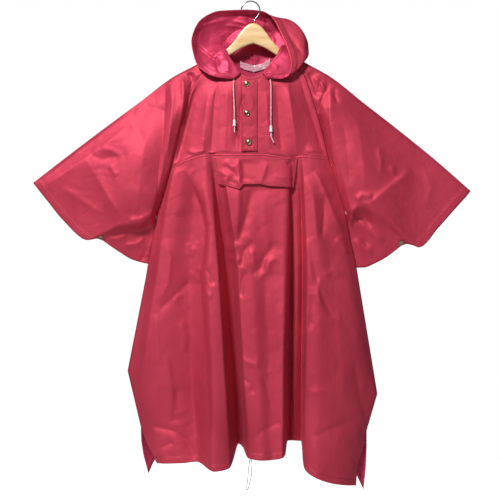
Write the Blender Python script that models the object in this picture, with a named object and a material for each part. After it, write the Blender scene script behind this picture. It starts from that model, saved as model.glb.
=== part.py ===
"""A nylon rain poncho, hung on a wooden hanger, as thin cloth walls.

Metres, +Z up. The front faces -Y and the viewer's right is +X. The origin is the seat of
the hanger's wire hook, where a rail or a nail would carry it. Tables are in millimetres:
x and z say where a point looks to be on the plane of the hanger, from an eye in front of
the garment, and depth says how far behind that plane it stands (less than 0: in front).
"""
import bpy
import numpy as np

MM = 0.001

# The eye that sees the garment as the tables have it: how far in front, and its height.
EYE_DISTANCE = 2600.0
EYE_HEIGHT = -670.0

CLOTH = 1.5             # thickness of every cloth wall
SEAM_GAP = 0.4          # air between two pieces at a seam
LAP = CLOTH + 0.6       # from one wall's middle to the next, where one lies on another

RED = (0.56, 0.05, 0.10)
MAGENTA = (0.36, 0.02, 0.07)
PALE = (0.75, 0.40, 0.44)
WHITE = (0.85, 0.82, 0.80)
BRASS = (0.40, 0.30, 0.16)
STEEL = (0.70, 0.70, 0.70)
WOOD = (0.80, 0.55, 0.28)

# Where the sleeves join the body, from the neck to the underarm, and how far down each
# of these places is on a sleeve, on the yoke and skirt, and on the back.
RAGLAN_LEFT = (
    # x, z, front depth, back depth
    (-62, -143, -10, 10),
    (-100, -165, -14, 14),
    (-137, -200, -17, 17),
    (-161, -246, -19, 20),
    (-183, -321, -20, 22),
    (-212, -443, -20, 24),
    (-251, -570, -14, 20),
    (-265, -643, -9, 12),
    (-277, -707, -4.4, 4.4),
)
RAGLAN_RIGHT = (
    (74, -143, -10, 10),
    (110, -165, -14, 14),
    (146, -200, -17, 17),
    (162, -246, -19, 20),
    (185, -321, -20, 22),
    (209, -421, -20, 24),
    (256, -570, -14, 20),
    (269, -643, -9, 12),
    (286, -718, -4.4, 4.4),
)
RAGLAN_ON_SLEEVE = (0.06, 0.10, 0.15, 0.22, 0.35, 0.55, 0.77, 0.89, 1.0)
RAGLAN_ON_YOKE = (0.0, 0.06, 0.15, 0.27, 0.54, 1.0)
RAGLAN_ON_SKIRT = (0.0, 0.17, 0.26, 0.34)
RAGLAN_ON_BACK = (0.0, 0.03, 0.06, 0.10, 0.16, 0.25, 0.38, 0.45, 0.51)

# Below the underarm: the side seam, then the two edges of the slit. The first two numbers
# say how far down a place is on the skirt and on the back.
SIDE_LEFT = (
    # on the skirt, on the back, x, z, depth
    (0.40, 0.55, -283, -745, 1.1),
    (0.68, 0.78, -332, -996, 1.1),
    (0.85, 0.91, -296, -1148, 1.1),
)
SIDE_RIGHT = (
    (0.40, 0.55, 293, -760, 1.1),
    (0.68, 0.78, 342, -1058, 1.1),
    (0.85, 0.91, 313, -1158, 1.1),
)
# The slit's edges: how far down the panel, x, z, depth.
SLIT_FRONT_LEFT = ((0.93, -281, -1190, -9), (1.0, -253, -1246, -24))
SLIT_FRONT_RIGHT = ((0.89, 304, -1207, -8), (0.93, 288, -1246, -15), (1.0, 285, -1306, -24))
SLIT_BACK_LEFT = ((0.94, -295, -1185, 3), (0.97, -289, -1224, 5), (1.0, -276, -1273, 7))
SLIT_BACK_RIGHT = ((0.94, 313, -1205, 3), (0.97, 311, -1256, 5), (1.0, 305, -1316, 7))

# The seam between the yoke and the skirt: x, z, depth.
YOKE_SEAM = (
    (-212, -443, -20),
    (-196, -436, -28),
    (-179, -428, -32),
    (-147, -416, -34),
    (-124, -411, -36.5),
    (-104, -409, -32),
    (-77, -409, -36),
    (-29, -409, -38),
    (31, -409, -39),
    (85, -416, -38),
    (104, -417, -37),
    (123, -416, -32),
    (141, -414, -37),
    (174, -417, -34),
    (193, -419, -28),
    (209, -421, -20),
)
# Soft folds of the yoke: where each starts on the neckline (x, z, depth), its x at the
# three levels below, the last on the seam, and its depth at the first two of them.
YOKE_LEVELS = (0.0, 0.28, 0.58, 1.0)
YOKE_HEIGHTS = (-251, -332)
YOKE_FOLDS = (
    # name, neckline, x at the levels, depths, columns on its left
    ("left seam roll", (-57, -151, -14), (-123, -145, -169), (-24, -26), 3),
    ("left ridge", (-50, -159, -18), (-99, -110, -120), (-33, -37), 3),
    ("left hollow", (-42, -170, -24), (-75, -77, -85), (-33, -33), 3),
    ("left chest", (-31, -184, -30), (-48, -48, -53), (-37, -38), 2),
    ("left of placket", (-25, -195, -33), (-25, -25, -25), (-36, -37), 2),
    ("under placket", (-3, -203, -35), (-4, -4, -4), (-37, -38), 2),
    ("right of placket", (17, -201, -35), (16, 16, 16), (-37, -38), 2),
    ("right chest", (32, -193, -33), (42, 44, 47), (-38, -39), 2),
    ("right hollow", (42, -181, -29), (69, 77, 87), (-35, -35), 2),
    ("right ridge", (51, -169, -24), (98, 114, 128), (-35, -38), 3),
    ("right seam roll", (60, -157, -18), (128, 150, 168), (-27, -30), 3),
)
YOKE_EDGE_COLUMNS = 3
YOKE_ROWS = (0.0, 0.06, 0.15, 0.27, 0.40, 0.54, 0.70, 0.85, 1.0)
PLACKET_LINES = (5, 7)  # the fold lines at the placket's two sides, the left edge being 0

# The skirt's folds: x on the seam, at the waist, at the widest place and on the hem, the
# height of the hem there, and the depth at the last three.
SKIRT_LEVELS = (0.0, 0.36, 0.70, 1.0)
SKIRT_HEIGHTS = (-718, -1020)
SKIRT_FOLDS = (
    # name, x, height of the hem, depths, columns on its left
    ("left roll", (-196, -245, -282, -228), -1247, (-27, -26, -42), 2),
    ("left panel", (-169, -212, -228, -185), -1246, (-34, -36, -47), 3),
    ("left hollow", (-147, -169, -164, -145), -1242, (-29, -30, -43), 3),
    ("first ridge", (-124, -111, -104, -99), -1269, (-56, -80, -98), 4),
    ("first ridge's flank", (-115, -85, -69, -58), -1260, (-48, -68, -86), 3),
    ("first trough", (-104, -66, -42, -33), -1193, (-16, -2, 10), 3),
    ("first trough's side", (-89, -53, -31, -21), -1202, (-20, -6, 4), 2),
    ("middle ridge's edge", (-77, -34, -18, -6), -1232, (-46, -58, -64), 3),
    ("middle ridge", (-29, 4, 20, 31), -1239, (-58, -74, -82), 3),
    ("middle dip", (31, 44, 52, 59), -1237, (-50, -66, -74), 2),
    ("middle's right", (85, 87, 85, 83), -1233, (-53, -69, -79), 2),
    ("second trough's edge", (104, 101, 94, 93), -1224, (-42, -52, -58), 2),
    ("second trough", (110, 110, 104, 100), -1185, (-14, 0, 8), 2),
    ("bright thread", (123, 125, 120, 117), -1183, (-18, -6, 2), 2),
    ("second trough's side", (133, 141, 137, 136), -1185, (-14, 0, 8), 2),
    ("last ridge's edge", (141, 152, 146, 144), -1257, (-42, -54, -60), 2),
    ("last ridge", (158, 182, 182, 182), -1289, (-54, -72, -84), 3),
    ("right panel", (174, 220, 241, 231), -1303, (-40, -56, -72), 3),
    ("right roll", (193, 258, 295, 264), -1306, (-28, -32, -46), 2),
)
SKIRT_EDGE_COLUMNS = 2
SKIRT_ROWS = (0.0, 0.06, 0.12, 0.17, 0.26, 0.34, 0.40, 0.47, 0.54, 0.61, 0.68, 0.74, 0.80,
              0.85, 0.89, 0.93, 0.965, 1.0)

# The back's soft waves: the neckline (x, z, depth), then x at the chest, the waist, the
# widest place and the hem, the height of the hem, and the depth at those four.
BACK_LEVELS = (0.0, 0.24, 0.52, 0.80, 1.0)
BACK_HEIGHTS = (-420, -718, -1000)
BACK_FOLDS = (
    # name, neckline, x, height of the hem, depths
    ("left side", (-57, -144, 12), (-188, -243, -292, -250), -1224, (29, 28, 28, 26)),
    ("left wave", (-42, -154, 20), (-130, -165, -200, -185), -1192, (33, 36, 37, 34)),
    ("left hollow", (-18, -169, 27), (-65, -80, -100, -95), -1184, (30, 30, 29, 26)),
    ("middle wave", (9, -176, 29), (2, 4, 5, 8), -1183, (33, 36, 37, 36)),
    ("right hollow", (36, -169, 27), (68, 88, 108, 108), -1184, (30, 30, 29, 26)),
    ("right wave", (52, -157, 20), (130, 172, 210, 200), -1196, (33, 36, 37, 34)),
    ("right side", (68, -144, 12), (186, 250, 302, 266), -1245, (29, 28, 28, 26)),
)
BACK_COLUMNS = 3
BACK_ROWS = (0.0, 0.03, 0.06, 0.10, 0.16, 0.20, 0.25, 0.31, 0.38, 0.45, 0.51, 0.55, 0.62,
             0.70, 0.78, 0.84, 0.91, 0.94, 0.97, 1.0)

# A sleeve's stations, from the raglan seam to the cuff. Each has seven places from the
# shoulder fold down to the lower edge; the roll is the bottom of the full front.
SLEEVE_LEVELS = (0.0, 0.04, 0.12, 0.25, 0.55, 0.80, 0.86, 1.0)
SLEEVE_LEFT = (
    # top, near, upper, middle, roll, recess, low: x, z
    ((-145, -169), (-158, -200), (-188, -259), (-232, -400), (-272, -583), (-280, -610), (-301, -702)),
    ((-210, -204), (-215, -221), (-237, -281), (-276, -427), (-296, -594), (-304, -618), (-326, -693)),
    ((-299, -271), (-299, -289), (-307, -346), (-323, -475), (-323, -595), (-331, -621), (-350, -678)),
    ((-399, -345), (-394, -359), (-388, -405), (-374, -508), (-355, -601), (-363, -620), (-377, -660)),
    ((-498, -420), (-489, -432), (-469, -470), (-428, -548), (-390, -617), (-393, -628), (-400, -644)),
    ((-587, -489), (-577, -502), (-550, -536), (-504, -592), (-442, -643), (-431, -642), (-417, -638)),
)
SLEEVE_RIGHT = (
    ((147, -164), (163, -194), (187, -254), (236, -400), (274, -568), (282, -599), (308, -717)),
    ((216, -203), (220, -221), (239, -278), (279, -427), (297, -539), (306, -589), (336, -706)),
    ((306, -274), (308, -292), (313, -348), (325, -470), (333, -558), (341, -610), (364, -691)),
    ((406, -352), (402, -367), (394, -419), (379, -521), (375, -585), (379, -621), (390, -672)),
    ((503, -431), (494, -446), (472, -489), (434, -567), (413, -625), (411, -640), (410, -657)),
    ((594, -511), (583, -525), (553, -558), (507, -610), (454, -663), (440, -658), (424, -653)),
)
# Depths at each station, at the crown of the shoulder fold and the six places below it.
SLEEVE_FRONT = (
    # crown, near, upper, middle, roll, recess, low
    (-8, -13, -27, -37, -34, -13, -4),
    (-7, -12, -27, -42, -40, -15, -4),
    (-3, -9, -23, -40, -42, -17, -4),
    (-3, -8, -18, -32, -38, -18, -5),
    (-3, -7, -13, -22, -28, -20, -8),
    (-3, -6, -9, -14, -18, -16, -10),
)
SLEEVE_BACK = (
    (8, 13, 20, 26, 22, 18, 4),
    (7, 12, 20, 26, 22, 18, 4),
    (3, 9, 18, 24, 20, 16, 4),
    (3, 8, 15, 20, 16, 12, 4),
    (3, 7, 12, 15, 12, 9, 4),
    (3, 6, 9, 11, 10, 8, 4),
)
CROWN_SHARE = 0.25              # how far the crown is from the top of the fold to the next place
SLEEVE_COLUMNS = (1, 4, 3, 3, 3, 3, 3)
SLEEVE_FRONT_ROWS = (0.02, 0.04, 0.06, 0.10, 0.15, 0.22, 0.28, 0.35, 0.45, 0.55, 0.66, 0.72,
                     0.77, 0.80, 0.83, 0.86, 0.89, 0.95, 1.0)
SLEEVE_BACK_ROWS = (0.02, 0.04, 0.06, 0.10, 0.15, 0.22, 0.35, 0.55, 0.77, 0.89, 1.0)
SEAM_REACHES = (-4.0, 1.5)      # a sleeve starts this far in under the body's edge, then leaves it
# The shoulder fold at the neck, where the wood carries it: its peak, and the crown's
# distance in front and behind, drop, and level on the sleeve.
SHOULDER_NECK = {"left": (-70, -123), "right": (82, -122)}
SHOULDER_HALF_WIDTH = 9.5
SHOULDER_DROP = 3.0
SHOULDER_LEVEL = 0.03

# The hood, from its front left end round the back of the neck to its front right end.
# Each station has its neck seam, two rings of the bag, the turn of the bag and the rim.
HOOD = (
    # neck, near, belly, turn, rim: x, z, depth
    ((-26, -193, -35.5), (-29, -194, -37.5), (-35, -199, -38.8), (-41, -204, -39.3), (-45, -208, -38.5)),
    ((-37, -175, -29.5), (-43, -176, -34), (-58, -186, -38), (-72, -198, -40), (-85, -205, -39)),
    ((-54, -152, -18.5), (-66, -151, -23), (-86, -164, -31), (-104, -181, -37), (-123, -190, -37)),
    ((-67, -131, -13), (-79, -131, -17), (-102, -141, -20), (-126, -155, -23), (-146, -167, -26)),
    ((-72, -118, 0), (-80, -117, -2), (-107, -127, -2), (-134, -134, -9), (-155, -138, -19)),
    ((-67, -131, 13), (-77, -117, 13), (-110, -107, 14), (-140, -102, 4), (-160, -106, -10)),
    ((-45, -155, 21.5), (-61, -119, 23), (-91, -85, 25), (-123, -62, 17), (-141, -55, 2)),
    ((-18, -172, 29.5), (-34, -124, 30), (-56, -81, 31), (-72, -43, 26), (-83, -24, 13)),
    ((9, -179, 31.5), (4, -130, 32), (-2, -84, 33), (-7, -41, 27), (-12, -21, 14)),
    ((36, -172, 29.5), (42, -127, 31), (47, -86, 33), (42, -49, 28), (31, -25, 12)),
    ((57, -156, 20.5), (69, -115, 25), (93, -73, 31), (92, -46, 16), (57, -41, -4)),
    ((79, -130, 14), (102, -109, 22), (131, -76, 26), (128, -64, 4), (79, -80, -20)),
    ((84, -116, 0), (112, -121, 10), (155, -113, 14), (146, -106, -12), (98, -124, -32)),
    ((80, -129, -14.5), (104, -139, -17), (157, -141, -8), (146, -150, -27), (109, -165, -40)),
    ((52, -166, -26.5), (76, -174, -31), (112, -184, -32), (117, -190, -38), (104, -196, -43)),
    ((41, -180, -32), (52, -186, -37), (69, -200, -40), (77, -206, -41), (77, -208, -41)),
    ((31, -191.5, -35.5), (36, -194, -38.5), (39, -199, -40), (42, -203, -40), (43, -206, -39)),
)
HOOD_RINGS = (0.0, 0.18, 0.5, 0.8, 1.0)
HOOD_ROWS = 11
HOOD_COLUMNS = 2

# Pieces that lie on a panel start from a finer grid of it.
FINE_ROWS = 60
FINE_COLUMNS = 4                # for each one of the panel's own
FINE_SKIRT = 0.3                # how far down the skirt the pocket flap's grid goes

PLACKET_RIGHT = 18.0
PLACKET_LEFT = -24.6
PLACKET_TOP = -208.0
PLACKET_FOOT = -403.0
PLACKET_TURN = -281.0           # above this its corner is turned open, down to a narrow point
PLACKET_POINT = 13.0            # x of the left edge at the top
PLACKET_LIFT = (5.0, LAP)       # off the yoke, at its left and right edges
PLACKET_ROWS = 12
PLACKET_COLUMNS = 6

FLAP_TOP = ((-102, -418), (-20, -417), (60, -421), (127, -423))
FLAP_FOOT = ((-86, -491), (-57, -499), (-29, -507), (-19, -493), (27, -493), (49, -498), (116, -502))
FLAP_LIFT = (3.0, 7.0)          # off the skirt, at its top and bottom edges
FLAP_ROWS = 5
FLAP_COLUMNS = 15

TAPE_ACROSS = (-28, 53)
TAPE_HEIGHT = 18.0
TAPE_MIDDLE = -181.0
TAPE_COLUMNS = 8

# Snaps: x and z. The upper one sits on the yoke, two sit on the placket.
TOP_SNAP = ("snap_top", -11, -221)
PLACKET_SNAPS = (("snap_middle", -10, -301), ("snap_bottom", -5, -379))
SLEEVE_SNAPS = {"left": ("snap_sleeve_left", -404, -634), "right": ("snap_sleeve_right", 407, -650)}
SNAP_RADIUS = 7.5
SNAP_PROFILE = (
    # share of the radius, height: the base, the rolled rim, the dip and the domed cap
    (0, 0), (0.9, 0), (1, 0.9), (0.93, 1.9), (0.76, 1.6), (0.4, 2.6), (0, 2.9),
)
SNAP_STAND = 0.6                # off flat cloth
SLEEVE_SNAP_STAND = 1.5         # off the sleeve, which is curved there
TURNED_SIDES = 12

CORD = 3.0                      # drawstring
TIE = 1.6                       # tie loop at the hem
CORD_STEP = 2.5                 # distance between a cord's points, in its diameters
TIE_STEP = 4.0
BEVEL_RESOLUTION = 2
DRAWSTRING_LEFT = (
    # x, z, depth, from the casing to the free end
    (-46, -211, -40.5), (-46, -230, -41), (-45, -262, -42), (-44, -300, -43), (-44, -326, -43.5),
    (-44, -340, -43.5), (-43, -352, -43),
)
DRAWSTRING_RIGHT = (
    (53, -209.5, -41.5), (55, -230, -41.5), (55, -262, -42), (55, -300, -43), (55, -332, -44),
    (55, -353, -44), (56, -364, -44), (59, -372, -43.5), (63, -380, -43),
)
# The tie hangs from two places inside the hem: x and z there, and the route between.
TIE_ENDS = ((5, -1225), (1.5, -1224))
TIE_AIR = 0.8                   # off the hem's inner face, which is curved there
TIE_ROUTE = (
    (1, -1248, -66), (2, -1262, -66), (2, -1276, -66), (-1, -1293, -66), (-5, -1308, -66),
    (-7.5, -1317, -66), (-9.5, -1318.5, -66), (-10.5, -1314, -66), (-9, -1299, -66),
    (-7, -1280, -65.5), (-5.5, -1260, -64.5), (-2.5, -1240, -64.5),
)
TOGGLES = (("toggle_left", -44, -318, -43.5), ("toggle_right", 55, -334, -44))
TOGGLE_BORE = 1.9               # radius of the hole that the drawstring runs in
TOGGLE_PROFILE = (
    # radius, height below the top: the bore's foot, the bell's lip, its waist and the top
    (TOGGLE_BORE, -17), (4.3, -17), (4.6, -15.5), (3.6, -9), (3.4, -1.5), (3, 0), (TOGGLE_BORE, 0),
)

# Outline of the hanger's right half: the top from the middle out, then the underside back.
WOOD_TOP = ((0, -58), (11, -60), (22, -68), (36, -84), (49, -103), (76, -131), (150, -177), (212, -213))
WOOD_UNDER = ((214, -226), (205, -234), (192, -228), (150, -203), (65, -146))
WOOD_NOTCH = -112.0
WOOD_CENTRE = 7.0               # the hook is bent a little to one side of the wood's middle
WOOD_THICKNESS = 12.0
WOOD_ROUNDING = 3.5
SHARP_EDGE = 60.0               # degrees: the wood's edges that are rounded

HOOK_WIRE = 3.5
HOOK_BEND = 25.0                # radius of the hook's bend, at the middle of the wire
HOOK_ARC = (-6.0, 176.0)        # degrees, from where the stem joins the bend to the tip
HOOK_ARC_POINTS = 22
HOOK_STEM = ((7, -72), (7, -65), (7, -56), (12, -47), (20, -38), (23.6, -30.5))     # x, z
HOOK_STEP = 4.5
STEM_HOLE = 2.1                 # radius of the hole for the wire in the wood
STEM_DEPTH = 14.5
STEM_SIDES = 16


def seen(points):
    """True places, in metres, of points (x, depth, z) that look to be at x, z in front."""
    points = np.asarray(points, float)
    nearness = (EYE_DISTANCE + points[..., 1]) / EYE_DISTANCE
    x = points[..., 0] * nearness
    z = EYE_HEIGHT + (points[..., 2] - EYE_HEIGHT) * nearness
    return np.stack([x, points[..., 1], z], axis=-1) * MM


def as_seen(points):
    """The other way: where true points look to be, as x and z in millimetres."""
    nearness = (EYE_DISTANCE * MM + points[..., 1]) / (EYE_DISTANCE * MM)
    x = points[..., 0] / nearness / MM
    z = EYE_HEIGHT + (points[..., 2] / MM - EYE_HEIGHT) / nearness
    return np.stack([x, z], axis=-1)


def straight(knots, values, at):
    """Straight stretches through the values at the knots, read at other places."""
    values = np.asarray(values, float)
    return np.stack([np.interp(at, knots, column) for column in values.T], axis=-1)


def smooth(knots, values, at):
    """A curve through the values at the knots that never passes beyond two neighbours.

    Cubic stretches whose slope at a knot is the harmonic mean of its neighbours' slopes,
    or nothing at a crest or a hollow.
    """
    knots = np.asarray(knots, float)
    values = np.asarray(values, float)
    shape = (-1,) + (1,) * (values.ndim - 1)
    width = np.diff(knots).reshape(shape)
    slope = np.diff(values, axis=0) / width
    product = slope[:-1] * slope[1:]
    total = slope[:-1] + slope[1:]
    inner = np.where(product > 0, 2 * product / np.where(product > 0, total, 1), 0)
    tangent = np.concatenate([slope[:1], inner, slope[-1:]])
    cell = np.clip(np.searchsorted(knots, at, side="right") - 1, 0, len(knots) - 2)
    width = width[cell]
    t = (np.asarray(at) - knots[cell]).reshape(shape) / width
    start = (1 + 2 * t) * (1 - t) ** 2 * values[cell] + t * (1 - t) ** 2 * width * tangent[cell]
    end = t * t * (3 - 2 * t) * values[cell + 1] - t * t * (1 - t) * width * tangent[cell + 1]
    return start + end


def between(lines, columns):
    """A grid across a list of lines, with so many columns between each two."""
    steps = np.concatenate([[0], np.cumsum(columns)])
    places = np.interp(np.arange(steps[-1] + 1), steps, np.arange(len(lines)))
    grid = smooth(np.arange(len(lines)), np.stack(lines), places)
    return grid.transpose(1, 0, 2), steps


def by_depth(rows, column=2):
    """Table rows of x, z and depths as points (x, depth, z)."""
    rows = np.asarray(rows, float)
    return rows[:, [0, column, 1]]


def cloth(name, grid, colour):
    """A wall of cloth about a grid of points, closed round its edges."""
    rows, columns = grid.shape[:2]
    index = np.arange(rows * columns).reshape(rows, columns)
    corners = (index[:-1, :-1], index[:-1, 1:], index[1:, 1:], index[1:, :-1])
    a, b, c, d = (corner.ravel() for corner in corners)
    faces = np.concatenate([np.stack([a, b, c], axis=1), np.stack([a, c, d], axis=1)])
    mesh = bpy.data.meshes.new(name)
    mesh.from_pydata(grid.reshape(-1, 3).tolist(), [], faces.tolist())
    mesh.shade_smooth()
    part = add_object(name, mesh, colour, 0.45, 0.0)
    wall = part.modifiers.new("Wall", "SOLIDIFY")
    wall.thickness = CLOTH * MM
    wall.offset = 0.0
    return part


def add_object(name, data, colour, roughness, metallic):
    """Put an object in the scene with a material of its own."""
    material = bpy.data.materials.new(name)
    material.use_nodes = True
    shader = material.node_tree.nodes["Principled BSDF"]
    shader.inputs["Base Color"].default_value = (*colour, 1.0)
    shader.inputs["Roughness"].default_value = roughness
    shader.inputs["Metallic"].default_value = metallic
    data.materials.append(material)
    part = bpy.data.objects.new(name, data)
    bpy.context.collection.objects.link(part)
    return part


def lie_on(host, x, z, lift):
    """Points that look to be at x, z and stand a lift off a host grid, towards the eye.

    Each starts from the host's nearest grid point and moves within the surface by the
    host's own slopes there, then out along its normal.
    """
    down, across = np.gradient(host, axis=(0, 1))
    flat = as_seen(host)
    flat_down, flat_across = np.gradient(flat, axis=(0, 1))
    flat = flat.reshape(-1, 2)
    wanted = np.stack([x, z], axis=-1).reshape(-1, 2)
    nearest = np.array([np.argmin(((flat - place) ** 2).sum(axis=1)) for place in wanted])
    slopes = np.stack([flat_down.reshape(-1, 2)[nearest], flat_across.reshape(-1, 2)[nearest]], axis=-1)
    steps = np.linalg.solve(slopes, (wanted - flat[nearest])[..., None])
    down, across = down.reshape(-1, 3)[nearest], across.reshape(-1, 3)[nearest]
    normal = np.cross(down, across)
    normal *= -np.sign(normal[:, 1:2]) / np.linalg.norm(normal, axis=1, keepdims=True)
    points = host.reshape(-1, 3)[nearest] + down * steps[:, 0] + across * steps[:, 1]
    lift = np.broadcast_to(lift, np.shape(x)).reshape(-1, 1) * MM
    return (points + normal * lift).reshape(*np.shape(x), 3)


def turned(name, profile, centre, axis, colour, roughness, metallic):
    """A solid turned about an axis, its profile a closed loop or ending on the axis."""
    axis = np.asarray(axis, float) / np.linalg.norm(axis)
    side = np.cross(axis, (1.0, 0.0, 0.0) if abs(axis[2]) > 0.5 else (0.0, 0.0, 1.0))
    side /= np.linalg.norm(side)
    other = np.cross(axis, side)
    angles = np.arange(TURNED_SIDES) * 2 * np.pi / TURNED_SIDES
    points, rings = [], []
    for radius, height in profile:
        turns = angles if radius > 0 else angles[:1]
        rings.append([len(points) + k for k in range(len(turns))])
        for a in turns:
            out = np.cos(a) * side + np.sin(a) * other
            points.append(tuple(centre + MM * (height * axis + radius * out)))
    if profile[0][0] > 0:
        rings.append(rings[0])
    faces = []
    for ring, after in zip(rings, rings[1:]):
        for k in range(TURNED_SIDES):
            n = (k + 1) % TURNED_SIDES
            corners = (ring[k % len(ring)], ring[n % len(ring)], after[n % len(after)], after[k % len(after)])
            faces.append(list(dict.fromkeys(corners)))
    mesh = bpy.data.meshes.new(name)
    mesh.from_pydata(points, [], faces)
    mesh.shade_smooth()
    return add_object(name, mesh, colour, roughness, metallic)


def tube(name, route, diameter, step, colour, roughness, metallic):
    """A round bar or cord along a smooth curve through a route of true points, in metres."""
    route = np.asarray(route, float)
    run = np.concatenate([[0], np.cumsum(np.linalg.norm(np.diff(route, axis=0), axis=1))])
    count = max(3, int(round(run[-1] / (step * MM))))
    points = smooth(run, route, np.linspace(0, run[-1], count + 1))
    curve = bpy.data.curves.new(name, "CURVE")
    curve.dimensions = "3D"
    curve.bevel_depth = diameter * MM / 2
    curve.bevel_resolution = BEVEL_RESOLUTION
    curve.use_fill_caps = True
    spline = curve.splines.new("POLY")
    spline.points.add(len(points) - 1)
    for target, point in zip(spline.points, points):
        target.co = (*point, 1.0)
    return add_object(name, curve, colour, roughness, metallic)


def on_seam(x):
    """Points of the seam between the yoke and the skirt, at given x."""
    return smooth([row[0] for row in YOKE_SEAM], by_depth(YOKE_SEAM), x)


def yoke_grid(rows, finer=1):
    """The whole front yoke, raglan seam to raglan seam, and the columns of its fold lines."""
    lines = [straight(RAGLAN_ON_YOKE, by_depth(RAGLAN_LEFT[:6]), rows)]
    for _, neckline, across, depths, _ in YOKE_FOLDS:
        foot = on_seam(np.array([across[-1]]))[0]
        x = (neckline[0],) + across
        z = (neckline[1],) + YOKE_HEIGHTS + (foot[2],)
        depth = (neckline[2],) + depths + (foot[1],)
        lines.append(smooth(YOKE_LEVELS, np.stack([x, depth, z], axis=1), rows))
    lines.append(straight(RAGLAN_ON_YOKE, by_depth(RAGLAN_RIGHT[:6]), rows))
    columns = [fold[-1] for fold in YOKE_FOLDS] + [YOKE_EDGE_COLUMNS]
    grid, steps = between(lines, [finer * count for count in columns])
    grid[-1] = on_seam(grid[-1, :, 0])
    return grid, steps


def skirt_edge(raglan, side, slit, rows):
    """One side edge of the skirt: the end of the raglan seam, the side seam and the slit."""
    levels = RAGLAN_ON_SKIRT + tuple(row[0] for row in side + slit)
    places = [row[:3] for row in raglan[5:]]
    places += [(x, z, -depth) for _, _, x, z, depth in side]
    places += [row[1:] for row in slit]
    return straight(levels, by_depth(places), rows)


def skirt_grid(rows, finer=1):
    """The skirt, side edge to side edge."""
    lines = [skirt_edge(RAGLAN_LEFT, SIDE_LEFT, SLIT_FRONT_LEFT, rows)]
    for _, across, hem, depths, _ in SKIRT_FOLDS:
        head = on_seam(np.array([across[0]]))[0]
        z = (head[2],) + SKIRT_HEIGHTS + (hem,)
        lines.append(smooth(SKIRT_LEVELS, np.stack([across, (head[1],) + depths, z], axis=1), rows))
    lines.append(skirt_edge(RAGLAN_RIGHT, SIDE_RIGHT, SLIT_FRONT_RIGHT, rows))
    columns = [fold[-1] for fold in SKIRT_FOLDS] + [SKIRT_EDGE_COLUMNS]
    grid, _ = between(lines, [finer * count for count in columns])
    grid[0] = on_seam(grid[0, :, 0]) - (0, 0, SEAM_GAP)
    return grid


def back_edge(raglan, side, slit, rows):
    """One side edge of the back: the raglan seam, the side seam and the slit."""
    levels = RAGLAN_ON_BACK + tuple(row[1] for row in side) + tuple(row[0] for row in slit)
    places = [(x, z, depth) for x, z, _, depth in raglan]
    places += [row[2:] for row in side]
    places += [row[1:] for row in slit]
    return straight(levels, by_depth(places), rows)


def back_grid(rows):
    """The back, side edge to side edge."""
    lines = [back_edge(RAGLAN_LEFT, SIDE_LEFT, SLIT_BACK_LEFT, rows)]
    for _, neckline, across, hem, depths in BACK_FOLDS:
        z = (neckline[1],) + BACK_HEIGHTS + (hem,)
        points = np.stack([(neckline[0],) + across, (neckline[2],) + depths, z], axis=1)
        lines.append(smooth(BACK_LEVELS, points, rows))
    lines.append(back_edge(RAGLAN_RIGHT, SIDE_RIGHT, SLIT_BACK_RIGHT, rows))
    return between(lines, [BACK_COLUMNS] * (len(lines) - 1))[0]


def half_sleeve(side, raglan, stations, rows, depths, depth_column, sign):
    """The front or the back of a sleeve: a line down it at each seam reach and station."""
    outward = -1 if side == "left" else 1
    top_x, top_z = SHOULDER_NECK[side]
    lines = []
    for reach in SEAM_REACHES:
        head = (top_x + outward * reach, 0.0, top_z)
        crown = (head[0], -sign * SHOULDER_HALF_WIDTH, top_z - SHOULDER_DROP)
        seam = by_depth(raglan, depth_column) + (outward * reach, sign * LAP, 0)
        knots = (0.0, SHOULDER_LEVEL) + RAGLAN_ON_SLEEVE
        lines.append(straight(knots, np.vstack([head, crown, seam]), rows))
    for places, depth in zip(stations, depths):
        places = np.asarray(places, float)
        crown = places[0] + (places[1] - places[0]) * CROWN_SHARE
        x, z = np.vstack([places[0], crown, places[1:]]).T
        points = np.stack([x, np.concatenate([[0.0], depth]), z], axis=1)
        lines.append(smooth(SLEEVE_LEVELS, points, rows))
    return lines


def sleeve_grid(side, raglan, stations):
    """One sleeve, from its front lower edge over the shoulder fold to its back one."""
    outward = -1 if side == "left" else 1
    top_x, top_z = SHOULDER_NECK[side]
    front = half_sleeve(side, raglan, stations, SLEEVE_FRONT_ROWS, SLEEVE_FRONT, 2, 1)
    back = half_sleeve(side, raglan, stations, SLEEVE_BACK_ROWS, SLEEVE_BACK, 3, -1)
    ridge = [(top_x + outward * reach, 0.0, top_z) for reach in SEAM_REACHES]
    ridge += [(places[0][0], 0.0, places[0][1]) for places in stations]
    lines = [np.vstack([f[::-1], [peak], b]) for f, peak, b in zip(front, ridge, back)]
    return between(lines, SLEEVE_COLUMNS)[0]


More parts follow.
